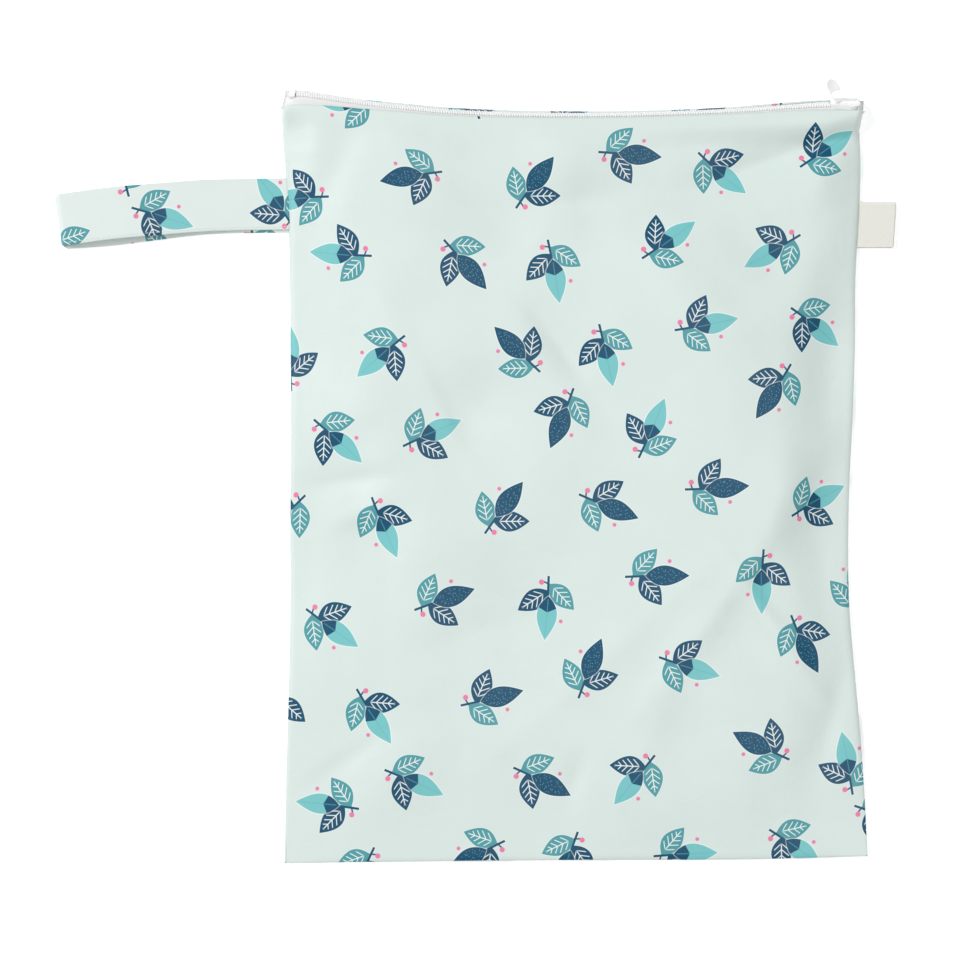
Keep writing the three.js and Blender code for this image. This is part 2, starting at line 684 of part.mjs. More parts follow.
// The pull's end bar lies under the crown, turned aside, and the pull is tipped up from the plate on it. The bar
// just clears the crown's rear leg.
const legClearance = crownWire / 2 + pullThick * Math.SQRT1_2 + runClearance
const pullPlace = crownLeg + legClearance / Math.cos(degToRad(pullYaw))
const hinge = new THREE.Group()
hinge.position.set(pullPlace, 0, plateTop + crownClear / 2)
hinge.rotation.z = degToRad(90 - pullYaw)
const pull = named('zip_pull', zipPull(), white(0.3))
pull.rotation.x = degToRad(pullRest)
hinge.add(pull)
sliderGroup.add(hinge)
bag.add(sliderGroup)

export default bag
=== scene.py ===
import math

import bmesh
import bpy
from mathutils import Matrix, Vector, noise


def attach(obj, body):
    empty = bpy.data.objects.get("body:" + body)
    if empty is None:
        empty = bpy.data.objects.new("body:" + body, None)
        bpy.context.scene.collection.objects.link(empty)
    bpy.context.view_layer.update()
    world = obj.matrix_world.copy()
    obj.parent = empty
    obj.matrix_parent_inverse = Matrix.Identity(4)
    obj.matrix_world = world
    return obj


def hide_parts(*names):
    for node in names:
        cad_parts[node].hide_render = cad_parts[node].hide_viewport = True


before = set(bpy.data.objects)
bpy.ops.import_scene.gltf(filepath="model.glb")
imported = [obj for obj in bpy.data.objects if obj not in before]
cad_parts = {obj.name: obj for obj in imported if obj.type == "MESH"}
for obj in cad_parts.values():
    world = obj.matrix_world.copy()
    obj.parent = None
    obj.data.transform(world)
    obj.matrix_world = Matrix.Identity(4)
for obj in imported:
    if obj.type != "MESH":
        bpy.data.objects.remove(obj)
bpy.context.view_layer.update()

MM = 0.001

# Sizes of the cloth body, as in the part
BAG_WIDTH = 301.5
BAG_HEIGHT = 400
BAG_PUFF = 15
CLOTH = 0.9
SEAM_HEIGHT = 2.2
SIDE_ROUND = 40
BOTTOM_ROUND = 34
EDGE_FULLNESS = 0.84
FOLD_DEPTH = 3
SHOULDER = 18
END_ROUND = 2

# How the empty bag lies in this scene: its rolled edge, the slopes behind it, and how far it sinks
RIM_ROUND = 2.4
RIM_SHARE = 0.17
SLOPE_REACH = 1.5
SLOPE_EASE = 0.45
PLAIN_ROUND = 8
SIDE_ROUND_AT_ZIP = 14
RIGHT_ROUND_SHARE = 0.68
BOTTOM_STRETCH = 1.25
BOTTOM_FULLNESS = 0.5
SUNK_LEFT = 0.36
SUNK_RIGHT = 0.24
FOLD_SHARE = 0.6
CREASE_DEPTH = 2
HEM_RADIUS = 0.7
HEM_STEP = 45

# Sizes of the zip, as in the part
ZIP_STAND = 8.2
COIL_WIDTH = 4
COIL_THICK = 1.8
TAPE_REVEAL = 5.4
LIP_REACH = 1
LIP_TURN = 3.4
LIP_RUN = 9
PIECE_GAP = 0.3
TAPE_TOP = -COIL_THICK / 2 - PIECE_GAP
PANEL_TOP = TAPE_TOP + PIECE_GAP + 1.2
SLIDER_INSET = 10
POST_WIDTH = 2.2

# How the panels and tapes close at the zip's two ends
LIP_END_LEFT = 2.5
LIP_END_RIGHT = 4.2
TAPE_END_LEFT = 2.9
TAPE_END_RIGHT = 4.9
LIP_CLOSING = 6
TAPE_CLOSING = 5.5
CLOSING_POWER = 1.6
TAPE_THICK = 0.6
TAPE_BED = 0.7

# Sizes of the strap and the label, as in the part, and the share that their folds are pressed to
STRAP_WIDTH = 26.6
STRAP_REACH = 118
STRAP_WALL = 1.6
STRAP_RISE = 8.6
STRAP_PLACE = 140.7
LABEL_REACH = 18.3
LABEL_HEIGHT = 23.5
LABEL_WALL = 1
LABEL_FOLD = 1.2
LABEL_PLACE = 130
FOLD_PRESSED = 0.55

# How far each side seam stands in from half the width, as shares of the width, at shares of the height
SIDE_ROWS = [
    dict(at=0, left=0, right=0),
    dict(at=0.08, left=0.0022, right=0.005),
    dict(at=0.16, left=0.0048, right=0.012),
    dict(at=0.24, left=0.0078, right=0.0215),
    dict(at=0.34, left=0.0102, right=0.032),
    dict(at=0.47, left=0.0102, right=0.0324),
    dict(at=0.56, left=0.011, right=0.027),
    dict(at=0.66, left=0.0106, right=0.0222),
    dict(at=0.76, left=0.0092, right=0.0208),
    dict(at=0.86, left=0.0052, right=0.0134),
    dict(at=0.92, left=-0.001, right=0.0128),
    dict(at=0.945, left=-0.0035, right=0.0145),
    dict(at=0.97, left=-0.0042, right=0.0085),
    dict(at=1, left=0.003, right=0.009),
]

# How far the bottom edge stands up, as shares of the height, at shares of the width
BOTTOM_ROWS = [
    dict(at=0, lift=0),
    dict(at=0.2, lift=0.0019),
    dict(at=0.5, lift=0.0039),
    dict(at=0.8, lift=0.0048),
    dict(at=1, lift=0.009),
]

# The zip at shares of its length, with the part's columns
ZIP_ROWS = [
    dict(at=0, drop=0.0242, lean=32, stand=0.92, front=1.12, back=0.15, lip=0),
    dict(at=0.03, drop=0.0222, lean=41, stand=0.94, front=1.16, back=0.15, lip=0),
    dict(at=0.067, drop=0.0236, lean=47, stand=0.96, front=1.08, back=0.15, lip=0.1),
    dict(at=0.13, drop=0.0274, lean=54, stand=0.98, front=0.9, back=0.2, lip=0.2),
    dict(at=0.19, drop=0.0306, lean=58, stand=1, front=0.76, back=0.2, lip=0.4),
    dict(at=0.28, drop=0.0355, lean=62, stand=1, front=0.62, back=0.2, lip=0.7),
    dict(at=0.5, drop=0.0391, lean=66, stand=1, front=0.55, back=0.2, lip=1),
    dict(at=0.77, drop=0.0338, lean=64, stand=1, front=0.5, back=0.2, lip=0.7),
    dict(at=0.88, drop=0.0297, lean=56, stand=1, front=0.5, back=0.42, lip=0.3),
    dict(at=0.93, drop=0.0288, lean=50, stand=1, front=0.56, back=0.54, lip=0),
    dict(at=0.965, drop=0.0292, lean=49, stand=0.99, front=0.56, back=0.54, lip=0),
    dict(at=1, drop=0.0296, lean=48, stand=0.98, front=0.56, back=0.54, lip=0),
]

# Soft folds of the front panel: middle, direction in degrees, half sizes, and rise as a share of FOLD_DEPTH
FOLD_ROWS = [
    dict(across=0.87, up=0.92, turn=16, long=0.2, wide=0.03, rise=-0.4),
    dict(across=0.84, up=0.86, turn=20, long=0.2, wide=0.035, rise=0.7),
    dict(across=0.6, up=0.9, turn=24, long=0.22, wide=0.05, rise=-0.6),
    dict(across=0.8, up=0.8, turn=40, long=0.12, wide=0.09, rise=-0.7),
    dict(across=0.98, up=0.63, turn=80, long=0.16, wide=0.05, rise=-0.9),
    dict(across=0.87, up=0.5, turn=52, long=0.2, wide=0.05, rise=0.6),
    dict(across=0.975, up=0.4, turn=96, long=0.16, wide=0.05, rise=-1),
    dict(across=0.85, up=0.32, turn=-52, long=0.2, wide=0.045, rise=0.5),
    dict(across=0.7, up=0.26, turn=58, long=0.18, wide=0.05, rise=0.4),
    dict(across=0.94, up=0.17, turn=60, long=0.1, wide=0.03, rise=-0.6),
    dict(across=0.52, up=0.64, turn=-62, long=0.14, wide=0.045, rise=-0.6),
    dict(across=0.77, up=0.58, turn=-66, long=0.22, wide=0.09, rise=0.6),
    dict(across=0.1, up=0.53, turn=35, long=0.1, wide=0.035, rise=-0.9),
    dict(across=0.08, up=0.44, turn=80, long=0.1, wide=0.03, rise=0.5),
    dict(across=0.07, up=0.87, turn=66, long=0.14, wide=0.03, rise=-0.7),
    dict(across=0.1, up=0.1, turn=42, long=0.14, wide=0.03, rise=-0.8),
    dict(across=0.15, up=0.16, turn=40, long=0.16, wide=0.04, rise=0.4),
]

# The strap from the seam to its fold, with the part's columns
STRAP_ROWS = [
    dict(at=0, drop=0, slip=0.05),
    dict(at=0.36, drop=0.009, slip=0.05),
    dict(at=0.57, drop=0.026, slip=0.075),
    dict(at=0.78, drop=0.045, slip=0.11),
    dict(at=1, drop=0.076, slip=0.04),
]


def clamp(value, low=0.0, high=1.0):
    return max(low, min(high, value))


def lerp(a, b, t):
    return a + (b - a) * t


def smoothstep(value, low, high):
    t = clamp((value - low) / (high - low))
    return t * t * (3 - 2 * t)


def value_at(table, column, at):
    """One column of a table at a place along it, on a smooth curve through the rows."""
    last = len(table) - 1
    i = 0
    while i < last - 1 and table[i + 1]["at"] < at:
        i += 1

    def slope(a, b):
        return (table[b][column] - table[a][column]) / (table[b]["at"] - table[a]["at"])

    here = slope(i, i + 1)
    start = (here + slope(i - 1, i)) / 2 if i > 0 else here
    end = (here + slope(i + 1, i + 2)) / 2 if i < last - 1 else here
    span = table[i + 1]["at"] - table[i]["at"]
    t = clamp((at - table[i]["at"]) / span)
    from_start = (2 * t**3 - 3 * t**2 + 1) * table[i][column] + (t**3 - 2 * t**2 + t) * span * start
    from_end = (3 * t**2 - 2 * t**3) * table[i + 1][column] + (t**3 - t**2) * span * end
    return from_start + from_end


def quarter_round(distance, radius):
    return math.sqrt(1 - (1 - clamp(distance / radius)) ** 2)


def up_share(y):
    return clamp(y / BAG_HEIGHT + 0.5)


def left_seam(y):
    return -BAG_WIDTH / 2 + BAG_WIDTH * value_at(SIDE_ROWS, "left", up_share(y))


def right_seam(y):
    return BAG_WIDTH / 2 - BAG_WIDTH * value_at(SIDE_ROWS, "right", up_share(y))


def plan_x(u, y):
    return lerp(left_seam(y), right_seam(y), u)


def bottom_y(u):
    return BAG_HEIGHT * (value_at(BOTTOM_ROWS, "lift", u) - 0.5)


class ZipSection:
    """The zip's section at a share of its length: d runs across it to the back, and h out of its face."""

    made = {}

    def __init__(self, u):
        self.u = u
        self.lean = math.radians(value_at(ZIP_ROWS, "lean", u))
        self.front = COIL_WIDTH / 2 + TAPE_REVEAL * value_at(ZIP_ROWS, "front", u)
        self.back = COIL_WIDTH / 2 + TAPE_REVEAL * value_at(ZIP_ROWS, "back", u)
        self.lip = LIP_REACH * value_at(ZIP_ROWS, "lip", u)
        self.edge_y = BAG_HEIGHT * (0.5 - value_at(ZIP_ROWS, "drop", u))
        self.coil_y = self.edge_y + self.front * math.cos(self.lean) - PANEL_TOP * math.sin(self.lean)
        self.coil_z = ZIP_STAND * value_at(ZIP_ROWS, "stand", u)

    @classmethod
    def at(cls, u):
        if u not in cls.made:
            cls.made[u] = cls(u)
        return cls.made[u]

    def point(self, d, h):
        y = self.coil_y + d * math.cos(self.lean) + h * math.sin(self.lean)
        z = self.coil_z - d * math.sin(self.lean) + h * math.cos(self.lean)
        return Vector((plan_x(self.u, y), y, z))


# Folds of the front panel that only this scene has, with rise as a share of CREASE_DEPTH
CREASE_ROWS = [
    dict(across=0.96, up=0.935, turn=22, long=0.08, wide=0.018, rise=-1),
    dict(across=0.82, up=0.897, turn=22, long=0.19, wide=0.034, rise=-2.2),
    dict(across=0.52, up=0.85, turn=6, long=0.2, wide=0.05, rise=-1.9),
    dict(across=0.88, up=0.79, turn=44, long=0.11, wide=0.08, rise=-1.6),
    dict(across=0.955, up=0.64, turn=86, long=0.14, wide=0.045, rise=-1.2),
    dict(across=0.955, up=0.37, turn=97, long=0.15, wide=0.045, rise=-1.2),
    dict(across=0.885, up=0.47, turn=56, long=0.16, wide=0.035, rise=0.9),
    dict(across=0.865, up=0.3, turn=-57, long=0.14, wide=0.016, rise=1),
    dict(across=0.73, up=0.3, turn=50, long=0.24, wide=0.026, rise=0.7),
    dict(across=0.78, up=0.56, turn=-66, long=0.3, wide=0.12, rise=1.6),
    dict(across=0.33, up=0.585, turn=60, long=0.08, wide=0.06, rise=-1.1),
    dict(across=0.48, up=0.665, turn=-52, long=0.09, wide=0.026, rise=-1.3),
    dict(across=0.09, up=0.492, turn=8, long=0.075, wide=0.022, rise=-1.9),
    dict(across=0.12, up=0.45, turn=24, long=0.05, wide=0.018, rise=1),
    dict(across=0.17, up=0.35, turn=86, long=0.2, wide=0.05, rise=-0.9),
    dict(across=0.08, up=0.12, turn=36, long=0.09, wide=0.02, rise=-1.5),
    dict(across=0.12, up=0.17, turn=30, long=0.12, wide=0.06, rise=-1),
    dict(across=0.5, up=0.105, turn=70, long=0.05, wide=0.02, rise=-1),
    dict(across=0.55, up=0.26, turn=40, long=0.28, wide=0.04, rise=0.8),
    dict(across=0.08, up=0.89, turn=66, long=0.07, wide=0.022, rise=-0.6),
    dict(across=0.3, up=0.74, turn=20, long=0.12, wide=0.06, rise=-0.8),
    dict(across=0.96, up=0.2, turn=72, long=0.1, wide=0.018, rise=-0.9),
    dict(across=0.34, up=0.3, turn=14, long=0.12, wide=0.05, rise=-0.8),
    dict(across=0.4, up=0.3, turn=92, long=0.42, wide=0.17, rise=-2.3),
    dict(across=0.05, up=0.3, turn=86, long=0.4, wide=0.05, rise=0.7),
    dict(across=0.44, up=0.8, turn=70, long=0.16, wide=0.05, rise=1),
    dict(across=0.24, up=0.62, turn=-60, long=0.16, wide=0.022, rise=0.7),
    dict(across=0.62, up=0.15, turn=64, long=0.12, wide=0.03, rise=0.45),
]


def fold_place(fold, across, up):
    """How far a place is along a fold and aside from its middle, in half sizes of the fold."""
    turn = math.radians(fold["turn"])
    dx = across - fold["across"]
    dy = (up - fold["up"]) * BAG_HEIGHT / BAG_WIDTH
    along = (dx * math.cos(turn) + dy * math.sin(turn)) / fold["long"]
    aside = (dy * math.cos(turn) - dx * math.sin(turn)) / fold["wide"]
    return along, aside


def folds_at(across, up):
    total = 0.0
    for fold in FOLD_ROWS:
        a, b = fold_place(fold, across, up)
        total += FOLD_DEPTH * fold["rise"] * math.exp(-a * a - b * b)
    return total


def creases_at(across, up):
    """Like the soft folds, but with a sharper ridge."""
    total = 0.0
    for fold in CREASE_ROWS:
        a, b = fold_place(fold, across, up)
        total += CREASE_DEPTH * fold["rise"] * math.exp(-a * a - abs(b) ** 1.6)
    return total


def ripples_at(x, y, from_side, from_bottom, from_zip):
    """Puckers that run out of the seams, and the cloth's own small unevenness."""
    wander = noise.noise(Vector((x / 46, y / 46, 4))) * 5
    side = 0.5 * math.exp(-from_side / 8) * math.sin(y * 0.62 + wander)
    side *= 0.4 + noise.noise(Vector((x / 200, y / 33, 9)))
    low = 0.45 * math.exp(-from_bottom / 8) * math.sin(x * 0.66 + wander)
    low *= 0.4 + noise.noise(Vector((x / 31, y / 200, 2)))
    high = 0.3 * math.exp(-from_zip / 9) * math.sin(x * 0.5 + wander)
    high *= 0.4 + noise.noise(Vector((x / 37, y / 200, 6)))
    broad = 4.6 * noise.noise(Vector((x / 58, y / 66, 1)))
    fine = 0.3 * noise.noise(Vector(((x + y) / 20, (y - x) / 34, 7)))
    return side + low + high + broad + fine


def rim_rise(distance, radius):
    """A small rolled edge at the seam, then an easy slope up to the full height."""
    t = clamp(distance / (radius * SLOPE_REACH))
    ease = lerp(1 - (1 - t) ** 2, smoothstep(t, 0, 1), SLOPE_EASE)
    return RIM_SHARE * quarter_round(distance, RIM_ROUND) + (1 - RIM_SHARE) * ease


def side_rise(u, radius):
    """A small radius is a plain round, and a larger one has the rolled edge and its slope."""
    distance = min(u, 1 - u) * BAG_WIDTH
    if radius < PLAIN_ROUND:
        return quarter_round(distance, radius)
    return rim_rise(distance, radius)


def folds_and_creases(u, y):
    return FOLD_SHARE * folds_at(u, up_share(y)) + creases_at(u, up_share(y))


def smooth_height(u, y):
    """The empty bag stands highest behind the zip, and sinks towards its bottom and its sides."""
    up = up_share(y)
    dome = lerp(EDGE_FULLNESS, 1, math.sin(math.pi * u) * math.sin(math.pi * up))
    sunk = lerp(SUNK_LEFT, SUNK_RIGHT, u) * smoothstep(abs(u - 0.48), 0.1, 0.55)
    sunk *= 1 - smoothstep(up, 0.66, 0.96)
    dome *= lerp(BOTTOM_FULLNESS, 1, smoothstep(up, -0.2, 0.72)) * (1 - sunk)
    return SEAM_HEIGHT + (BAG_PUFF - SEAM_HEIGHT) * dome


def small_folds(u, y, edge_y):
    x = plan_x(u, y)
    from_side = min(u, 1 - u) * BAG_WIDTH
    return ripples_at(x, y, from_side, y - bottom_y(u), edge_y - y)


def side_radius(u, below_zip):
    """The sides are fuller near the zip, which holds the bag open, and the right side all along."""
    full = SIDE_ROUND if u < 0.5 else SIDE_ROUND * RIGHT_ROUND_SHARE
    return lerp(SIDE_ROUND_AT_ZIP, full, smoothstep(below_zip, 10, 105))


def front_point(u, y):
    side = side_rise(u, side_radius(u, ZipSection.at(u).edge_y - y))
    rise = side * rim_rise(y - bottom_y(u), BOTTOM_ROUND * BOTTOM_STRETCH)
    small = small_folds(u, y, ZipSection.at(u).edge_y) * min(1, rise * 1.2)
    height = smooth_height(u, y) + folds_and_creases(u, y)
    return Vector((plan_x(u, y), y, lerp(SEAM_HEIGHT, height, rise) + small))


def section_curve(u, ends, t):
    """A smooth curve in the section at u, through its first and last ends and drawn to the two between."""
    weights = ((1 - t) ** 3, 3 * t * (1 - t) ** 2, 3 * t * t * (1 - t), t**3)
    y = sum(w * end[0] for w, end in zip(weights, ends))
    z = sum(w * end[1] for w, end in zip(weights, ends))
    return Vector((plan_x(u, y), y, z))


def shoulder_point(u, t):
    """The front panel from its flat part, at t = 0, over the shoulder and up to the zip, at t = 1."""
    section = ZipSection.at(u)
    start_y = section.edge_y - SHOULDER
    start_z = smooth_height(u, start_y)
    end = section.point(-section.front, PANEL_TOP)
    handle_z = lerp(end.z, start_z, 0.12) + 0.35
    ends = [
        (start_y, start_z),
        (start_y + SHOULDER * 0.45, start_z),
        (end.y - SHOULDER * 0.3, handle_z),
        (end.y, end.z),
    ]
    point = section_curve(u, ends, t)
    wide = side_rise(u, side_radius(u, section.edge_y - point.y))
    narrow = side_rise(u, lerp(PLAIN_ROUND - 0.1, END_ROUND, t ** (1 / 3)))
    rise = lerp(wide, narrow, smoothstep(t, 0, 1))
    fade = 1 - smoothstep(t, 0, 0.7)
    small = small_folds(u, point.y, section.edge_y) * lerp(0.3, 1, fade) * min(1, rise * 1.2)
    point.z = lerp(SEAM_HEIGHT, point.z + folds_and_creases(u, point.y) * fade, rise) + small
    return point


def back_height(u, y):
    rise = side_rise(u, SEAM_HEIGHT) * quarter_round(y - bottom_y(u), SEAM_HEIGHT)
    return SEAM_HEIGHT * (1 - rise)


def lip_shown(u):
    """How much of the lip stands out past the coil: little at the zip's ends, where the tape covers it."""
    return smoothstep(u, 0.06, 0.26) * (1 - smoothstep(u, 0.8, 0.96))


def lip_point(u, t):
    """The back panel's lip, from where it leaves the floor, at t = 0, round its turn to the zip, at t = 1."""
    section = ZipSection.at(u)
    edge = lerp(LIP_END_LEFT if u < 0.5 else LIP_END_RIGHT, section.back, lip_shown(u))
    end = section.point(edge, PANEL_TOP - 0.5 * (1 - lip_shown(u)))
    turn = section.point(edge + lerp(0.5, LIP_TURN, lip_shown(u)), PANEL_TOP - 0.5)
    start = end.y - LIP_RUN
    foot = back_height(u, start)
    ends = [(start, foot), (turn.y + section.lip, foot), (turn.y + section.lip, turn.z), (end.y, end.z)]
    point = section_curve(u, ends, t)
    closed = (1 - clamp(min(u, 1 - u) * BAG_WIDTH / LIP_CLOSING)) ** CLOSING_POWER
    point.z = lerp(point.z, min(point.z, SEAM_HEIGHT * 0.5), closed)
    return point


def shares_across(side_steps, middle_steps):
    """Places across the bag, close together on the side rounds and even between them."""
    shares = []
    for k in range(side_steps + 1):
        shares.append(SIDE_ROUND / BAG_WIDTH * (1 - math.cos(math.pi / 2 * k / side_steps)))
    first = shares[-1]
    middle = [lerp(first, 1 - first, k / middle_steps) for k in range(1, middle_steps)]
    return shares + middle + [1 - share for share in reversed(shares)]


# Meshes
def new_piece(name, mesh_maker):
    mesh = bpy.data.meshes.new(name)
    shape = bmesh.new()
    mesh_maker(shape)
    shape.to_mesh(mesh)
    shape.free()
    piece = bpy.data.objects.new(name, mesh)
    bpy.context.scene.collection.objects.link(piece)
    return piece


def shade_smooth(piece):
    for face in piece.data.polygons:
        face.use_smooth = True


def point_grid(shape, rows, flat_place):
    """A grid whose rows of points are given, and its flat map in metres from each point's row and column."""
    count_rows, count_columns = len(rows), len(rows[0])
    bmesh.ops.create_grid(shape, x_segments=count_columns - 1, y_segments=count_rows - 1, size=1)
    shape.verts.index_update()
    flat = shape.loops.layers.uv.new("Flat")
    places = {}
    for vert in shape.verts:
        j = round((vert.co.x + 1) / 2 * (count_columns - 1))
        i = round((vert.co.y + 1) / 2 * (count_rows - 1))
        places[vert.index] = (i, j)
        vert.co = rows[i][j] * MM
    for face in shape.faces:
        for loop in face.loops:
            loop[flat].uv = Vector(flat_place(*places[loop.vert.index])) * MM


def curved_sheet(shape, rows, flip=False):
    """A sheet through the rows of points, with a flat map measured along the cloth."""
    lengths = flat_lengths(rows)
    point_grid(shape, rows, lambda i, j: lengths[i][j])
    if flip:
        bmesh.ops.reverse_faces(shape, faces=shape.faces)


def flat_lengths(rows):
    """How far each point is from the sheet's middle, measured along its rows and along its middle column."""
    middle = len(rows[0]) // 2
    along = [0.0]
    for low, high in zip(rows, rows[1:]):
        along.append(along[-1] + (high[middle] - low[middle]).length)
    result = []
    for row, v in zip(rows, along):
        across = [0.0]
        for a, b in zip(row, row[1:]):
            across.append(across[-1] + (b - a).length)
        offset = across[middle] - row[middle].x
        result.append([(u - offset, v) for u in across])
    return result


def wall(piece, thickness):
    """Gives a sheet its thickness, inwards from the side that shows."""
    modifier = piece.modifiers.new("Wall", "SOLIDIFY")
    modifier.thickness = thickness * MM
    modifier.offset = -1.0


def apply_modifiers(piece):
    with bpy.context.temp_override(object=piece, active_object=piece, selected_objects=[piece]):
        for modifier in list(piece.modifiers):
            bpy.ops.object.modifier_apply(modifier=modifier.name)


# Front panel
across_front = shares_across(14, 86)
FLAT_ROWS = 140
ROUND_ROWS = 12
SHOULDER_ROWS = 14
HEM_ROWS = 3


def hem_point(u, k):
    """The folded edge of the panel at the zip, turned under on a small radius towards the tape."""
    section = ZipSection.at(u)
    end = shoulder_point(u, 1)
    turn = math.radians(HEM_STEP * k)
    radius = HEM_RADIUS * side_rise(u, 4)
    along = radius * math.sin(turn)
    down = radius * (1 - math.cos(turn))
    y = end.y + along * math.cos(section.lean) - down * math.sin(section.lean)
    z = end.z - along * math.sin(section.lean) - down * math.cos(section.lean)
    return Vector((end.x, y, z))


def front_rows():
    rows = []
    for k in range(ROUND_ROWS + 1):
        reach = BOTTOM_ROUND * (1 - math.cos(math.pi / 2 * k / ROUND_ROWS))
        rows.append([front_point(u, bottom_y(u) + reach) for u in across_front])
    for k in range(1, FLAT_ROWS + 1):
        row = []
        for u in across_front:
            low = bottom_y(u) + BOTTOM_ROUND
            high = ZipSection.at(u).edge_y - SHOULDER
            row.append(front_point(u, lerp(low, high, k / FLAT_ROWS)))
        rows.append(row)
    for k in range(1, SHOULDER_ROWS + 1):
        rows.append([shoulder_point(u, k / SHOULDER_ROWS) for u in across_front])
    for k in range(1, HEM_ROWS + 1):
        rows.append([hem_point(u, k) for u in across_front])
    return rows


front = new_piece("front_cloth", lambda shape: curved_sheet(shape, front_rows()))
shade_smooth(front)
wall(front, CLOTH)
apply_modifiers(front)

# Back panel
SEAM_SHARES = (0.1, 0.3, 0.6, 1)
BACK_ROUND_ROWS = 6
BACK_FLAT_ROWS = 60
LIP_ROWS = 18
across_back = shares_across(14, 60)
across_back = sorted({*across_back, *(SEAM_HEIGHT * k / BAG_WIDTH for k in SEAM_SHARES)})
across_back = sorted({*across_back, *(1 - SEAM_HEIGHT * k / BAG_WIDTH for k in SEAM_SHARES)})


def back_rows():
    rows = []
    for k in range(BACK_ROUND_ROWS + 1):
        reach = SEAM_HEIGHT * (1 - math.cos(math.pi / 2 * k / BACK_ROUND_ROWS))
        row = [Vector((plan_x(u, bottom_y(u) + reach), bottom_y(u) + reach, 0)) for u in across_back]
        for u, point in zip(across_back, row):
            point.z = back_height(u, point.y)
        rows.append(row)
    for k in range(1, BACK_FLAT_ROWS + 1):
        row = []
        for u in across_back:
            y = lerp(bottom_y(u) + SEAM_HEIGHT, lip_point(u, 0).y, k / BACK_FLAT_ROWS)
            row.append(Vector((plan_x(u, y), y, back_height(u, y))))
        rows.append(row)
    for k in range(1, LIP_ROWS + 1):
        rows.append([lip_point(u, k / LIP_ROWS) for u in across_back])
    return rows


back = new_piece("back_cloth", lambda shape: curved_sheet(shape, back_rows(), flip=True))
shade_smooth(back)
wall(back, CLOTH)
apply_modifiers(back)


# Zip tapes: woven strips under the coil
TAPE_STEPS = 240


def tape_rows(edges):
    """Rows along the zip, one for each edge, which close down onto the seam at both ends."""
    rows = []
    for d_at in edges:
        row = []
        for k in range(TAPE_STEPS + 1):
            u = lerp(0.0008, 0.9992, k / TAPE_STEPS)
            section = ZipSection.at(u)
            from_end = min(u, 1 - u) * BAG_WIDTH
            aside = d_at(section)
            bed = TAPE_BED * (1 - smoothstep(abs(aside), 2.3, 3.4)) * smoothstep(from_end, 4, 7)
            point = section.point(aside, TAPE_TOP + bed)
            closed = (1 - clamp((from_end - 0.2) / TAPE_CLOSING)) ** CLOSING_POWER
            point.z = lerp(point.z, SEAM_HEIGHT, closed)
            row.append(point)
        rows.append(row)
    return rows


def parting(u):
    """Half the gap between the tapes, which the slider's post opens."""
    start = 1 - SLIDER_INSET / BAG_WIDTH
    parts = smoothstep(u, start - 6 / BAG_WIDTH, start)
    meets = smoothstep(u, start + 4 / BAG_WIDTH, 1 - 3 / BAG_WIDTH)
    return 0.04 + (POST_WIDTH / 2 + PIECE_GAP) * (parts * (1 - meets))


def spread(start, end, count):
    """Places across a tape, from one function of the section to another."""
    return [lambda s, t=k / count: lerp(start(s), end(s), t) for k in range(count + 1)]


tape_front_edges = spread(lambda s: -s.front - 0.2, lambda s: -parting(s.u), 10)
tape_back_edges = spread(
    lambda s: parting(s.u),
    lambda s: lerp(TAPE_END_LEFT if s.u < 0.5 else TAPE_END_RIGHT, s.back + 0.7, lip_shown(s.u)),
    8,
)
tape_front = new_piece("tape_front", lambda shape: curved_sheet(shape, tape_rows(tape_front_edges)))
tape_back = new_piece("tape_back", lambda shape: curved_sheet(shape, tape_rows(tape_back_edges)))
for tape in (tape_front, tape_back):
    shade_smooth(tape)
    wall(tape, TAPE_THICK)
    apply_modifiers(tape)

# Coil: turns of nylon from both sides that meet in the middle
TOOTH_PITCH = 1.27
TOOTH_REACH = 2.35
COIL_START = 6.2
COIL_END = BAG_WIDTH - SLIDER_INSET - 3


def add_copies(shape, maker, places):
    """One small shape at each of the given places."""
    pattern_shape = bmesh.new()
    maker(pattern_shape)
    pattern = bpy.data.meshes.new("pattern")
    pattern_shape.to_mesh(pattern)
    pattern_shape.free()
    for place in places:
        copy = pattern.copy()
        copy.transform(place)
        shape.from_mesh(copy)
        bpy.data.meshes.remove(copy)
    bpy.data.meshes.remove(pattern)


def coil_turns(shape):
    count = int((COIL_END - COIL_START) / TOOTH_PITCH)
    places = []
    for k in range(count * 2):
        u = (COIL_START + TOOTH_PITCH * k / 2) / BAG_WIDTH
        section = ZipSection.at(u)
        aside = -1 if k % 2 else 1
        ahead = ZipSection(u + 0.002)
        along = (ahead.point(0, 0) - section.point(0, 0)).normalized()
        across = (section.point(1, 0) - section.point(0, 0)).normalized()
        out = along.cross(across) * -1
        across = out.cross(along)
        centre = section.point(aside * (TOOTH_REACH / 2 - 0.35), 0)
        size = Matrix.Diagonal((TOOTH_PITCH * 0.6, TOOTH_REACH / 2 + 0.15, COIL_THICK / 2, 1))
        turn = Matrix((along, across, out)).transposed().to_4x4()
        places.append(Matrix.Translation(centre * MM) @ turn @ size @ Matrix.Scale(MM, 4))
    add_copies(
        shape, lambda one: bmesh.ops.create_uvsphere(one, u_segments=10, v_segments=8, radius=1), places
    )


coil = new_piece("coil_turns", coil_turns)
shade_smooth(coil)


# Sewing thread: a short rounded stitch from point to point, sunk a little into the cloth
def stitch(a, b, up, thick):
    along = (b - a).normalized()
    side = up.cross(along).normalized()
    length = (b - a).length
    turn = Matrix((along, side, along.cross(side))).transposed().to_4x4()
    size = Matrix.Diagonal((length / 2, thick / 2, thick / 2, 1))
    return Matrix.Translation((a + b) / 2 * MM) @ turn @ size @ Matrix.Scale(MM, 4)


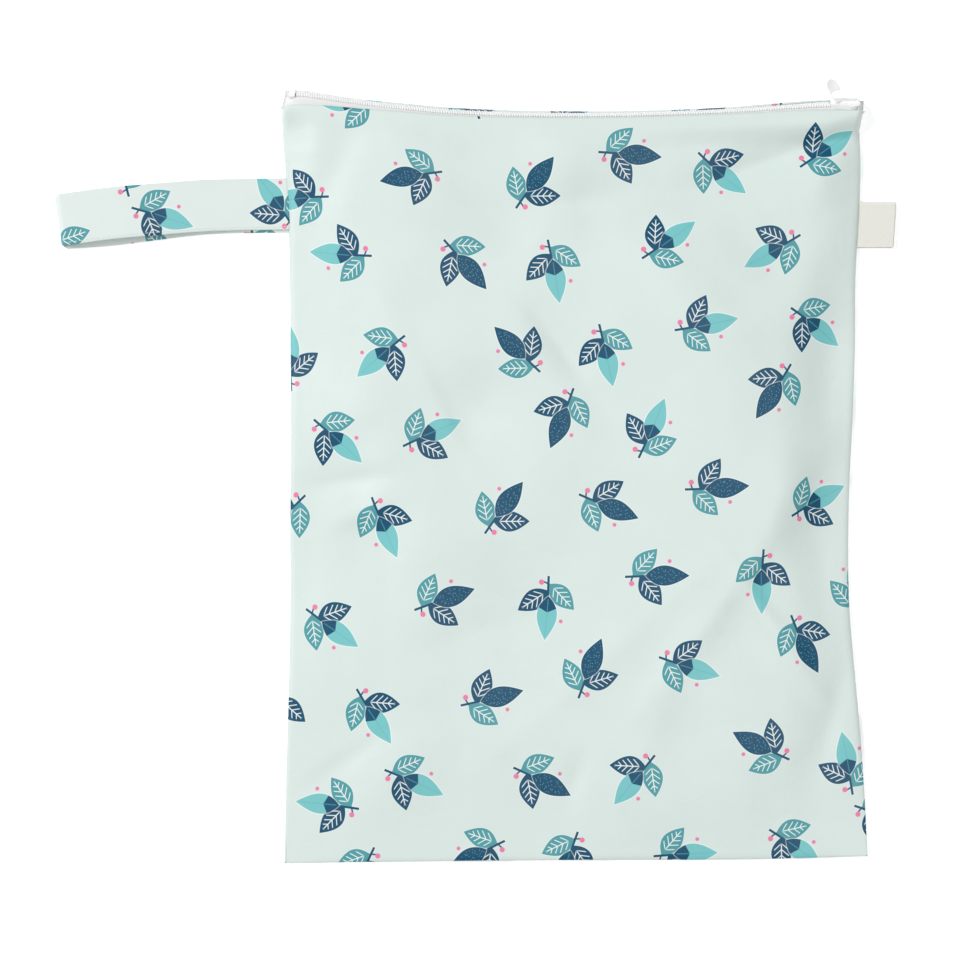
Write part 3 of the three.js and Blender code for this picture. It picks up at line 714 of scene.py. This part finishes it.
def stitch_row(shape, points, ups, length, gap, thick):
    """Stitches along a row of points, each of the given length."""
    at = [0.0]
    for a, b in zip(points, points[1:]):
        at.append(at[-1] + (b - a).length)

    def spot(distance):
        k = 0
        while k < len(at) - 2 and at[k + 1] < distance:
            k += 1
        t = clamp((distance - at[k]) / (at[k + 1] - at[k]))
        return points[k].lerp(points[k + 1], t), ups[k].lerp(ups[k + 1], t)

    distance = gap
    places = []
    while distance + length < at[-1]:
        a, up = spot(distance)
        b, _ = spot(distance + length)
        places.append(stitch(a, b, up, thick))
        distance += length + gap
    add_copies(shape, lambda one: bmesh.ops.create_icosphere(one, subdivisions=2, radius=1), places)


# A band of cloth that runs out from a seam, folds over and comes back above itself
def band_line(start, out, reach, width, wall_thick, floor, gap, side, corner, slant, run_steps, fold_steps):
    """The middle line of the band, as points, with the way that its outer face looks at each."""
    fold_radius = gap(1) / 2 + wall_thick
    straight = reach - fold_radius * FOLD_PRESSED
    line = []
    for k in range(run_steps + 1):
        x = straight * k / run_steps
        s = clamp(x / reach)
        line.append((x, floor(s) + wall_thick / 2, side(s, False), Vector((0, 0, -1)), s))
    for k in range(1, fold_steps):
        turn = math.pi * k / fold_steps
        middle = fold_radius - wall_thick / 2
        x = straight + middle * FOLD_PRESSED * math.sin(turn)
        z = floor(1) + fold_radius - middle * math.cos(turn)
        s = clamp(straight / reach)
        y = lerp(side(s, False), side(s, True), k / fold_steps)
        line.append((x, z, y, Vector((out * math.sin(turn), 0, -math.cos(turn))), 1))
    for k in range(run_steps, -1, -1):
        x = straight * k / run_steps
        s = clamp(x / reach)
        line.append((x, floor(s) + gap(s) + wall_thick * 1.5, side(s, True), Vector((0, 0, 1)), s))
    narrowed = []
    for station in line:
        to_end = reach - station[0]
        shrink = corner * (1 - quarter_round(to_end, corner))
        narrowed.append((start, out, *station, 1 - 2 * shrink / width, slant / width / reach))
    return narrowed


def band_point(station, aside, lift):
    """A point of the band: aside across its width, and lift out of its outer face."""
    start, out, x, z, y, face, _, narrow, slant = station
    edge = y + aside * narrow
    x += x * aside * slant
    return Vector((start(edge) + out * x, edge, z)) + face * lift


BAND_FACE_STEPS = 12
BAND_EDGE_STEPS = 5


def band_ring(half, lift):
    """The outline of a band's section: aside across it, and how far out of its middle."""
    flat_half = half - lift
    ring = []
    for k in range(BAND_FACE_STEPS + 1):
        ring.append((lerp(-flat_half, flat_half, k / BAND_FACE_STEPS), lift))
    for k in range(1, BAND_EDGE_STEPS):
        turn = math.pi * k / BAND_EDGE_STEPS
        ring.append((flat_half + lift * math.sin(turn), lift * math.cos(turn)))
    for k in range(BAND_FACE_STEPS, -1, -1):
        ring.append((lerp(-flat_half, flat_half, k / BAND_FACE_STEPS), -lift))
    for k in range(1, BAND_EDGE_STEPS):
        turn = math.pi * k / BAND_EDGE_STEPS
        ring.append((-flat_half - lift * math.sin(turn), -lift * math.cos(turn)))
    ring.append(ring[0])
    return ring


def band_mesh(shape, line, width, thick, swell=0.0):
    """A closed band with rounded edges through the stations of its line."""
    half = width / 2
    ring = band_ring(half, thick / 2)
    rows = []
    for station in line:
        row = []
        for aside, lift in ring:
            row.append(band_point(station, aside, lift + swell_of(aside, half, lift, swell)))
        rows.append(row)
    middle = BAND_FACE_STEPS // 2
    along = [0.0]
    for a, b in zip(rows, rows[1:]):
        along.append(along[-1] + (b[middle] - a[middle]).length)
    point_grid(shape, rows, lambda i, j: (along[i], ring[j][0]))
    bmesh.ops.remove_doubles(shape, verts=shape.verts, dist=0.00001)
    ends = [edge for edge in shape.edges if edge.is_boundary]
    bmesh.ops.holes_fill(shape, edges=ends, sides=0)
    bmesh.ops.recalc_face_normals(shape, faces=shape.faces)


def swell_of(aside, half, lift, swell):
    """The band is fuller between its stitched edges."""
    if abs(aside) >= half:
        return math.copysign(0, lift)
    return math.copysign(swell * math.cos(aside / half * math.pi / 2) ** 0.5, lift)


STRAP_LOOSE = STRAP_RISE - 2 * STRAP_WALL
strap_line = band_line(
    start=lambda y: left_seam(y) + 1.2,
    out=-1,
    reach=STRAP_REACH + 1.7,
    width=STRAP_WIDTH,
    wall_thick=STRAP_WALL,
    floor=lambda s: 0,
    gap=lambda s: lerp(PIECE_GAP, STRAP_LOOSE + PIECE_GAP, smoothstep(s, 0, 0.75)),
    side=lambda s, upper: STRAP_PLACE
    - STRAP_REACH * value_at(STRAP_ROWS, "drop", s)
    - (0 if upper else STRAP_WIDTH * value_at(STRAP_ROWS, "slip", s)),
    corner=2.6,
    slant=2.6,
    run_steps=60,
    fold_steps=20,
)
strap = new_piece(
    "strap_cloth", lambda shape: band_mesh(shape, strap_line, STRAP_WIDTH, STRAP_WALL * 0.8, swell=0.12)
)
shade_smooth(strap)


def strap_stitches(shape):
    """One row along the strap's lower edge, over both runs and the fold between them."""
    aside = -STRAP_WIDTH / 2 + 1.5
    points = [band_point(station, aside, STRAP_WALL * 0.4 + 0.06) for station in strap_line]
    ups = [station[5] for station in strap_line]
    stitch_row(shape, points, ups, length=2.1, gap=0.75, thick=0.36)


strap_thread = new_piece("strap_thread", strap_stitches)
shade_smooth(strap_thread)

LABEL_LIFT = SEAM_HEIGHT - LABEL_WALL - PIECE_GAP / 2
label_line = band_line(
    start=lambda y: right_seam(y) - 0.8,
    out=1,
    reach=LABEL_REACH + 1.3,
    width=LABEL_HEIGHT,
    wall_thick=LABEL_WALL * 0.7,
    floor=lambda s: LABEL_LIFT,
    gap=lambda s: lerp(PIECE_GAP, LABEL_FOLD + 0.6, s),
    side=lambda s, upper: LABEL_PLACE - (0 if upper else PIECE_GAP),
    corner=1.0,
    slant=0,
    run_steps=16,
    fold_steps=12,
)
label = new_piece("label_ribbon", lambda shape: band_mesh(shape, label_line, LABEL_HEIGHT, LABEL_WALL * 0.55))
shade_smooth(label)


# Hard pieces of the zip: the part's own shapes with their edges rounded
PULL_HINGE = Vector((135.615, 193.643, 10.074))
PULL_AXIS = Vector((0.789042, 0.394756, -0.470723))
PULL_DOWN = Vector((-0.461, 0.887, -0.029))


def pull_dishes(shape):
    """Two shallow lenses that hollow both faces of the pull inside its rim."""
    down = (PULL_DOWN - PULL_AXIS * PULL_DOWN.dot(PULL_AXIS)).normalized()
    out = PULL_AXIS.cross(down)
    turn = Matrix((PULL_AXIS, down, out)).transposed().to_4x4()
    for side in (-1, 1):
        centre = PULL_HINGE + down * 8.5 + out * side * 0.68
        size = Matrix.Diagonal((3.1, 3.1, 0.56, 1))
        place = Matrix.Translation(centre * MM) @ turn @ size @ Matrix.Scale(MM, 4)
        bmesh.ops.create_uvsphere(shape, u_segments=40, v_segments=20, radius=1, matrix=place)


def softened_copy(node, name, width, cut=None):
    """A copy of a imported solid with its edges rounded, and hollowed by a cutter where one is given."""
    piece = bpy.data.objects.new(name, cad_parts[node].data.copy())
    bpy.context.scene.collection.objects.link(piece)
    shape = bmesh.new()
    shape.from_mesh(piece.data)
    bmesh.ops.remove_doubles(shape, verts=shape.verts, dist=0.000004)
    bmesh.ops.dissolve_limit(
        shape, angle_limit=math.radians(2), verts=shape.verts, edges=shape.edges, delimit={"NORMAL"}
    )
    shape.to_mesh(piece.data)
    shape.free()
    modifier = piece.modifiers.new("Edges", "BEVEL")
    modifier.width = width * MM
    modifier.segments = 3
    modifier.limit_method = "ANGLE"
    modifier.angle_limit = math.radians(28)
    apply_modifiers(piece)
    if cut:
        cutter = new_piece("cutter", cut)
        hollow = piece.modifiers.new("Hollow", "BOOLEAN")
        hollow.operation = "DIFFERENCE"
        hollow.solver = "EXACT"
        hollow.object = cutter
        apply_modifiers(piece)
        bpy.data.objects.remove(cutter)
    shade_smooth(piece)
    soften = piece.modifiers.new("Soften", "WEIGHTED_NORMAL")
    soften.keep_sharp = True
    return piece


slider = softened_copy("zip_slider", "slider_body", 0.22)
pull = softened_copy("zip_pull", "slider_pull", 0.2, cut=pull_dishes)
stop = softened_copy("zip_bottom_stop", "bottom_stop", 0.3)


# Finishes
def linear(red, green, blue):
    """A colour as a screen shows it, from 0 to 255, as light."""
    shares = [c / 255 for c in (red, green, blue)]
    return tuple(((c + 0.055) / 1.055) ** 2.4 if c > 0.04 else c / 12.92 for c in shares) + (1,)


class Field:
    """A value or colour that varies over a surface, as a socket of a finish's nodes."""

    def __init__(self, finish, socket):
        self.finish = finish
        self.socket = socket

    def maths(self, operation, *others):
        return self.finish.maths(operation, self, *others)

    def __add__(self, other):
        return self.maths("ADD", other)

    __radd__ = __add__

    def __sub__(self, other):
        return self.maths("SUBTRACT", other)

    def __rsub__(self, other):
        return self.finish.maths("SUBTRACT", other, self)

    def __mul__(self, other):
        return self.maths("MULTIPLY", other)

    __rmul__ = __mul__

    def __truediv__(self, other):
        return self.maths("DIVIDE", other)

    def __rtruediv__(self, other):
        return self.finish.maths("DIVIDE", other, self)

    def __abs__(self):
        return self.maths("ABSOLUTE")

    def __lt__(self, other):
        return self.maths("LESS_THAN", other)

    def __gt__(self, other):
        return self.maths("GREATER_THAN", other)

    def sin(self):
        return self.maths("SINE")

    def cos(self):
        return self.maths("COSINE")

    def clip(self):
        return self.finish.node("ShaderNodeClamp", {}, {"Value": self})["Result"]


class Finish:
    """A material, built from nodes around one Principled shader."""

    def __init__(self, name, **fixed):
        self.material = bpy.data.materials.new(name)
        self.material.use_nodes = True
        self.tree = self.material.node_tree
        self.tree.nodes.clear()
        self.shader = self.tree.nodes.new("ShaderNodeBsdfPrincipled")
        output = self.tree.nodes.new("ShaderNodeOutputMaterial")
        self.tree.links.new(self.shader.outputs["BSDF"], output.inputs["Surface"])
        for socket, value in fixed.items():
            self.shader.inputs[socket.replace("_", " ")].default_value = value

    def node(self, kind, settings, inputs):
        """A node of a kind: its settings, then what its sockets hold. Gives its outputs by name."""
        made = self.tree.nodes.new(kind)
        for name, value in settings.items():
            setattr(made, name, value)
        for name, value in inputs.items():
            if isinstance(value, Field):
                self.tree.links.new(value.socket, made.inputs[name])
            else:
                made.inputs[name].default_value = value
        return {output.name: Field(self, output) for output in made.outputs if output.enabled}

    def maths(self, operation, *values):
        return self.node("ShaderNodeMath", {"operation": operation}, dict(enumerate(values)))["Value"]

    def least(self, first, *others):
        for other in others:
            first = self.maths("MINIMUM", first, other)
        return first

    def mix(self, factor, a, b):
        inputs = {0: factor, 6: a, 7: b}
        return self.node("ShaderNodeMix", {"data_type": "RGBA"}, inputs)["Result"]

    def flat_map(self):
        """The piece's own flat map, in millimetres."""
        uv = self.node("ShaderNodeUVMap", {"uv_map": "Flat"}, {})["UV"]
        parts = self.node("ShaderNodeSeparateXYZ", {}, {"Vector": uv})
        return parts["X"] * 1000, parts["Y"] * 1000

    def place(self):
        """The place on the piece in its own axes, as a vector in metres."""
        return self.node("ShaderNodeTexCoord", {}, {})["Object"]

    def vector(self, x, y):
        return self.node("ShaderNodeCombineXYZ", {}, {"X": x, "Y": y})["Vector"]

    def cloudy(self, vector, scale, detail=2.0, roughness=0.5):
        inputs = {"Vector": vector, "Scale": scale, "Detail": detail, "Roughness": roughness}
        return self.node("ShaderNodeTexNoise", {}, inputs)["Fac"]

    def set(self, **fields):
        for socket, field in fields.items():
            self.tree.links.new(field.socket, self.shader.inputs[socket.replace("_", " ")])

    def bump(self, height, distance, strength=1.0, normal=None):
        inputs = {"Height": height, "Distance": distance * MM, "Strength": strength}
        if normal is not None:
            inputs["Normal"] = normal
        return self.node("ShaderNodeBump", {}, inputs)["Normal"]


MINT = linear(203, 215, 211)
MINT_PALE = linear(207, 219, 215)
# The strap's mint is the bag's own mint painted lighter: painted light on the same cloth
MINT_STRAP_PAINTED_LIGHT = linear(213, 221, 218)
NAVY = linear(4, 68, 97)
NAVY_PALE = linear(10, 78, 108)
TEAL = linear(68, 143, 149)
TEAL_PALE = linear(80, 153, 160)
AQUA = linear(114, 186, 188)
AQUA_RIB = linear(84, 168, 174)
SPECKLE = linear(116, 172, 186)
PINK = linear(222, 120, 158)
CHALK = linear(226, 232, 230)

# Sprigs of the print, in millimetres: how far apart they are, how far each strays from its place, their size
# over the sizes drawn below, the lean of their rows in degrees, and how far off their count starts
SPRIG_ACROSS = 50.0
SPRIG_UP = 49.0
SPRIG_STRAY = 8.2
SPRIG_SIZE = 1.24
SPRIG_LEAN = 31
SPRIG_START = 700
SPECKLED_ABOVE = 0.62


def printed_cloth(name, shift, light=MINT):
    """Mint satin laminate printed with loose leaf sprigs on a half-drop repeat."""
    finish = Finish(name, Roughness=0.47, Specular_IOR_Level=0.27, Sheen_Weight=0.02, Sheen_Roughness=0.4)
    u, v = finish.flat_map()
    lean = math.radians(SPRIG_LEAN)
    x = u * math.cos(lean) + v * math.sin(lean) + (SPRIG_START + shift[0])
    y = v * math.cos(lean) - u * math.sin(lean) + (SPRIG_START + shift[1])
    column = (x / SPRIG_ACROSS).maths("FLOOR")
    dropped = y + column.maths("MODULO", 2.0) * (SPRIG_UP / 2)
    row = (dropped / SPRIG_UP).maths("FLOOR")
    cell = finish.vector(column, row)
    chance = finish.node("ShaderNodeTexWhiteNoise", {"noise_dimensions": "2D"}, {"Vector": cell})
    parts = finish.node("ShaderNodeSeparateColor", {}, {"Color": chance["Color"]})
    px = x - (column + 0.5) * SPRIG_ACROSS - (parts["Red"] - 0.5) * (2 * SPRIG_STRAY)
    py = dropped - (row + 0.5) * SPRIG_UP - (parts["Green"] - 0.5) * (2 * SPRIG_STRAY)
    turn = parts["Blue"] * math.tau
    cosine, sine = turn.cos(), turn.sin()
    a = (px * cosine + py * sine) / SPRIG_SIZE
    mirrored = 1 - ((chance["Value"] * 7.0).maths("FRACT") > 0.5) * 2
    b = (py * cosine - px * sine) * mirrored / SPRIG_SIZE
    dark = chance["Value"] > SPECKLED_ABOVE

    def leaf(at_a, at_b, degrees, long, wide, blunt=0.0):
        """How far a place is outside a leaf, with its place along and across the leaf."""
        turned = math.radians(degrees)
        da, db = a - at_a, b - at_b
        along = da * math.cos(turned) + db * math.sin(turned)
        aside = db * math.cos(turned) - da * math.sin(turned)
        share = (along / long).maths("MINIMUM", 1.2).maths("MAXIMUM", -1.2)
        width = (1 - share * share) * (1 - share * blunt) * wide
        return finish.maths("MAXIMUM", abs(aside) - width, abs(along) - long), along, aside

    def round_dot(at_a, at_b, radius):
        """How far a place is outside a round dot."""
        squares = finish.maths("POWER", a - at_a, 2.0) + finish.maths("POWER", b - at_b, 2.0)
        return squares.maths("SQRT") - radius

    tip, tip_along, tip_aside = leaf(4.4, 0, 0, 9.2, 4.1, 0.3)
    left, left_along, left_aside = leaf(-2.4, 6.3, 52, 7.6, 4.2, 0.25)
    right, right_along, right_aside = leaf(-5.0, -5.6, -48, 7.4, 4.1, 0.25)
    berry = round_dot(-10.4, 3.4, 1.1)
    small_berry = round_dot(5.2, -6.0, 0.8)
    stem = finish.maths("MAXIMUM", abs(b + a * 0.05) - 0.5, abs(a + 8.6) - 4.6)
    twig = finish.maths("MAXIMUM", abs((a + 10.4) * 0.9 + (b - 1.7) * 0.3) - 0.3, abs(b - 1.4) - 1.5)

    def inside(distance, grow=0.0, soft=0.16):
        return (0.5 - (distance - grow) / soft).clip()

    def veins(along, aside, distance, pitch, lean):
        """Loose side veins and a midrib, drawn inside a leaf."""
        waves = (along - abs(aside) * lean) / pitch
        fraction = abs(waves.maths("FRACT") - 0.5) * pitch
        side_vein = inside(0.5 * pitch - fraction - 0.24, 0, 0.2)
        rib = inside(abs(aside) - 0.2, 0, 0.2)
        reach = inside(distance, -1.1)
        front_half = (along + 5.2).clip() * (5.6 - along).clip()
        return finish.maths("MAXIMUM", side_vein, rib) * reach * front_half

    weave = finish.vector(u, v)
    mottled = finish.cloudy(weave, 0.05, 3.0)
    ground = finish.mix(mottled, light, MINT_PALE)
    everything = finish.least(tip, left, right, stem)
    colour = finish.mix(inside(everything, 0.36, 0.3) * 0.45, ground, CHALK)
    ink = finish.cloudy(weave, 0.9, 2.0)
    teal = finish.mix(ink, TEAL, TEAL_PALE)
    navy = finish.mix(ink, NAVY, NAVY_PALE)
    colour = finish.mix(inside(stem), colour, navy)
    colour = finish.mix(inside(twig), colour, navy)
    colour = finish.mix(inside(left), colour, navy)
    colour = finish.mix(veins(left_along, left_aside, left, 2.5, 0.9), colour, CHALK)
    colour = finish.mix(inside(right), colour, teal)
    colour = finish.mix(veins(right_along, right_aside, right, 2.5, 0.9), colour, CHALK)
    seam = inside(tip, 0.42, 0.3) * (1 - inside(tip))
    colour = finish.mix(seam * 0.5, colour, CHALK)
    foot = inside(tip_along + 2.4 + abs(tip_aside) * 0.5)
    plain = finish.mix(foot, AQUA, navy)
    dots = finish.node("ShaderNodeTexVoronoi", {"voronoi_dimensions": "2D"}, {"Vector": weave, "Scale": 0.62})
    speckle = inside(dots["Distance"] - 0.13, 0, 0.1) * inside(tip, -0.8)
    speckled = finish.mix(speckle * 0.8, navy, SPECKLE)
    colour = finish.mix(inside(tip), colour, finish.mix(dark, plain, speckled))
    midrib = inside(abs(tip_aside) - 0.2, 0, 0.2) * inside(tip, -1.2) * (1 - dark)
    colour = finish.mix(midrib * 0.5, colour, AQUA_RIB)
    colour = finish.mix(finish.maths("MAXIMUM", inside(berry), inside(small_berry)), colour, PINK)

    knit = (u * (math.tau / 0.62)).sin() * (v * (math.tau / 0.5)).sin()
    crinkle = finish.cloudy(weave, 0.16, 4.0, 0.55)
    rub = finish.cloudy(weave, 0.035, 2.0)
    soft = finish.bump(crinkle, 0.5, 0.35)
    finish.set(
        Base_Color=colour,
        Roughness=0.34 + rub * 0.12 + knit * 0.03,
        Normal=finish.bump(knit, 0.02, 0.6, soft),
    )
    return finish.material


def woven_tape(name, shade):
    """Zip tape: fine woven ribs along and across its length, under a fine twill."""
    finish = Finish(name, Roughness=0.75, Specular_IOR_Level=0.25, Sheen_Weight=0.15)
    u, v = finish.flat_map()
    along = (u * (math.tau / 0.7)).sin()
    aside = (v * (math.tau / 0.55)).sin()
    twill = ((u + v) * (math.tau / 1.3)).sin()
    cloud = finish.cloudy(finish.vector(u, v), 0.3, 3.0)
    tint = finish.mix(cloud, shade, linear(222, 222, 221))
    colour = finish.mix((along * aside * 0.5 + 0.5).clip() * 0.12, tint, linear(204, 204, 205))
    height = along * 0.5 + aside + twill * 0.5
    finish.set(Base_Color=colour, Roughness=0.68 + cloud * 0.16, Normal=finish.bump(height, 0.05, 0.8))
    return finish.material


def moulded(name, shade, rough):
    """White nylon: soft gloss with a slight unevenness."""
    finish = Finish(name, Specular_IOR_Level=0.45, Subsurface_Weight=0.08, Subsurface_Scale=0.002)
    place = finish.place()
    cloud = finish.cloudy(place, 900.0, 3.0)
    finish.set(
        Base_Color=finish.mix(cloud, shade, linear(236, 236, 236)),
        Roughness=rough + cloud * 0.15,
        Normal=finish.bump(cloud, 0.03, 0.4),
    )
    return finish.material


def enamel(name):
    """White baked enamel on cast metal, with darker grey in patches along its sharp edges: painted edge shade
    that outlines the pieces, and a little wear.
    """
    finish = Finish(name, Specular_IOR_Level=0.55, Coat_Weight=0.5, Coat_Roughness=0.12)
    place = finish.place()
    ripple = finish.cloudy(place, 500.0, 4.0, 0.6)
    grime = finish.cloudy(place, 160.0, 3.0)
    edges = finish.node("ShaderNodeNewGeometry", {}, {})["Pointiness"]
    # Darker grey on the sharp edges, in patches: painted shade that outlines the pieces, and wear
    edge_shade_and_wear = ((edges - 0.56) * 9).clip() * ((ripple - 0.5) * 5).clip()
    colour = finish.mix(grime, linear(244, 244, 245), linear(237, 237, 238))
    finish.set(
        Base_Color=finish.mix(edge_shade_and_wear * 0.4, colour, linear(196, 196, 194)),
        Roughness=0.24 + ripple * 0.14 + edge_shade_and_wear * 0.1,
        Normal=finish.bump(ripple, 0.025, 0.5),
    )
    return finish.material


def satin_ribbon(name):
    """Cream label ribbon with a fine warp and weft, and a woven selvedge along both edges."""
    finish = Finish(name, Roughness=0.55, Specular_IOR_Level=0.35, Sheen_Weight=0.2)
    u, v = finish.flat_map()
    warp = (v * (math.tau / 0.42)).sin()
    weft = (u * (math.tau / 0.36)).sin()
    cloud = finish.cloudy(finish.vector(u, v), 0.4, 3.0)
    ground = finish.mix(cloud, linear(222, 221, 214), linear(215, 214, 207))
    selvedge = ((abs(v) - (LABEL_HEIGHT / 2 - 1.3)) * 8).clip()
    colour = finish.mix((warp * weft * 0.5 + 0.5).clip() * 0.1, ground, linear(190, 188, 182))
    colour = finish.mix(selvedge * 0.35, colour, linear(230, 229, 226))
    height = warp * 0.6 + weft * 0.5 + selvedge * (v * (math.tau / 0.9)).sin()
    finish.set(Base_Color=colour, Roughness=0.5 + cloud * 0.12, Normal=finish.bump(height, 0.04, 0.8))
    return finish.material


def sewing_thread(name):
    """Pale twisted thread."""
    finish = Finish(name, Roughness=0.6, Specular_IOR_Level=0.3, Sheen_Weight=0.3)
    place = finish.place()
    parts = finish.node("ShaderNodeSeparateXYZ", {}, {"Vector": place})
    twist = ((parts["X"] + parts["Y"] + parts["Z"]) * (math.tau / 0.0005)).sin()
    cloud = finish.cloudy(place, 400.0, 2.0)
    finish.set(
        Base_Color=finish.mix(cloud, linear(216, 224, 221), linear(208, 216, 213)),
        Roughness=0.55 + cloud * 0.15,
        Normal=finish.bump(twist, 0.03, 0.7),
    )
    return finish.material


def dress(piece, material):
    piece.data.materials.clear()
    piece.data.materials.append(material)


dress(front, printed_cloth("front_print", (21.0, 9.0)))
dress(back, printed_cloth("back_print", (173.0, 88.0)))
# The strap's print lies on the lighter mint, which is painted light
dress(strap, printed_cloth("strap_print", (16.0, 41.0), MINT_STRAP_PAINTED_LIGHT))
dress(strap_thread, sewing_thread("thread"))
tape_finish = woven_tape("tape_weave", linear(229, 228, 227))
dress(tape_front, tape_finish)
dress(tape_back, tape_finish)
dress(coil, moulded("coil_nylon", linear(224, 224, 224), 0.5))
dress(stop, moulded("stop_nylon", linear(232, 231, 231), 0.3))
enamel_finish = enamel("white_enamel")
dress(slider, enamel_finish)
dress(pull, enamel_finish)
dress(label, satin_ribbon("label_weave"))

# Which node each piece stands for, and what it rides on
for piece, node, finish_slot in (
    (front, "front_panel", "cloth"),
    (back, "back_panel", "cloth"),
    (tape_front, "zip_tape_front", "zip_tape"),
    (tape_back, "zip_tape_back", "zip_tape"),
    (coil, "zip_coil", "zip_coil"),
    (stop, "zip_bottom_stop", "zip_coil"),
    (slider, "zip_slider", "zip_metal"),
    (pull, "zip_pull", "zip_metal"),
    (strap, "wrist_strap", "cloth"),
    (label, "side_label", "label_ribbon"),
):
    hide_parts(node)
    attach(piece, "pull" if piece is pull else "bag")
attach(strap_thread, "bag")


# Floor, light and camera
def floor_maker(shape):
    bmesh.ops.create_grid(shape, x_segments=1, y_segments=1, size=6)


floor = new_piece("floor", floor_maker)
PAPER_GLOW = 0.26
paper = Finish(
    "paper", Roughness=0.9, Specular_IOR_Level=0.1, Emission_Color=(1, 1, 1, 1), Emission_Strength=PAPER_GLOW
)
paper_tone = paper.cloudy(paper.place(), 3.0, 2.0)
paper.set(Base_Color=paper.mix(paper_tone, linear(249, 249, 249), linear(248, 248, 248)))
dress(floor, paper.material)


def soft_light(name, direction, distance, size, power):
    """A round lamp, in metres and watts, that faces the bag from a direction."""
    data = bpy.data.lights.new(name, "AREA")
    data.shape = "DISK"
    data.size = size
    data.energy = power
    lamp = bpy.data.objects.new(name, data)
    bpy.context.scene.collection.objects.link(lamp)
    spot = Vector(direction).normalized() * distance
    lamp.matrix_world = Matrix.Translation(spot) @ spot.to_track_quat("Z", "Y").to_matrix().to_4x4()


soft_light("window", (-0.8, 0.34, 0.85), 5.0, 1.7, 153)
soft_light("overhead", (0.2, -0.05, 1.0), 4.0, 1.9, 52)

world = bpy.data.worlds.new("studio")
bpy.context.scene.world = world
world.use_nodes = True
world.node_tree.nodes["Background"].inputs["Color"].default_value = (1, 1, 1, 1)
world.node_tree.nodes["Background"].inputs["Strength"].default_value = 0.42
bpy.context.scene.view_settings.view_transform = "Standard"

# The camera looks straight down and frames as many millimetres, at the cloth's height, as the photograph
PHOTO_MM = 960 / 1.94
CAMERA_HEIGHT = 2000.0
CLOTH_HEIGHT = 8
VIEW_MIDDLE = (-49.7, -2.0)
SENSOR = 36
camera_data = bpy.data.cameras.new("camera")
camera_data.sensor_width = SENSOR
camera_data.lens = SENSOR * (CAMERA_HEIGHT - CLOTH_HEIGHT) / PHOTO_MM
camera = bpy.data.objects.new("camera", camera_data)
camera.location = Vector((*VIEW_MIDDLE, CAMERA_HEIGHT)) * MM
bpy.context.scene.collection.objects.link(camera)
bpy.context.scene.camera = camera
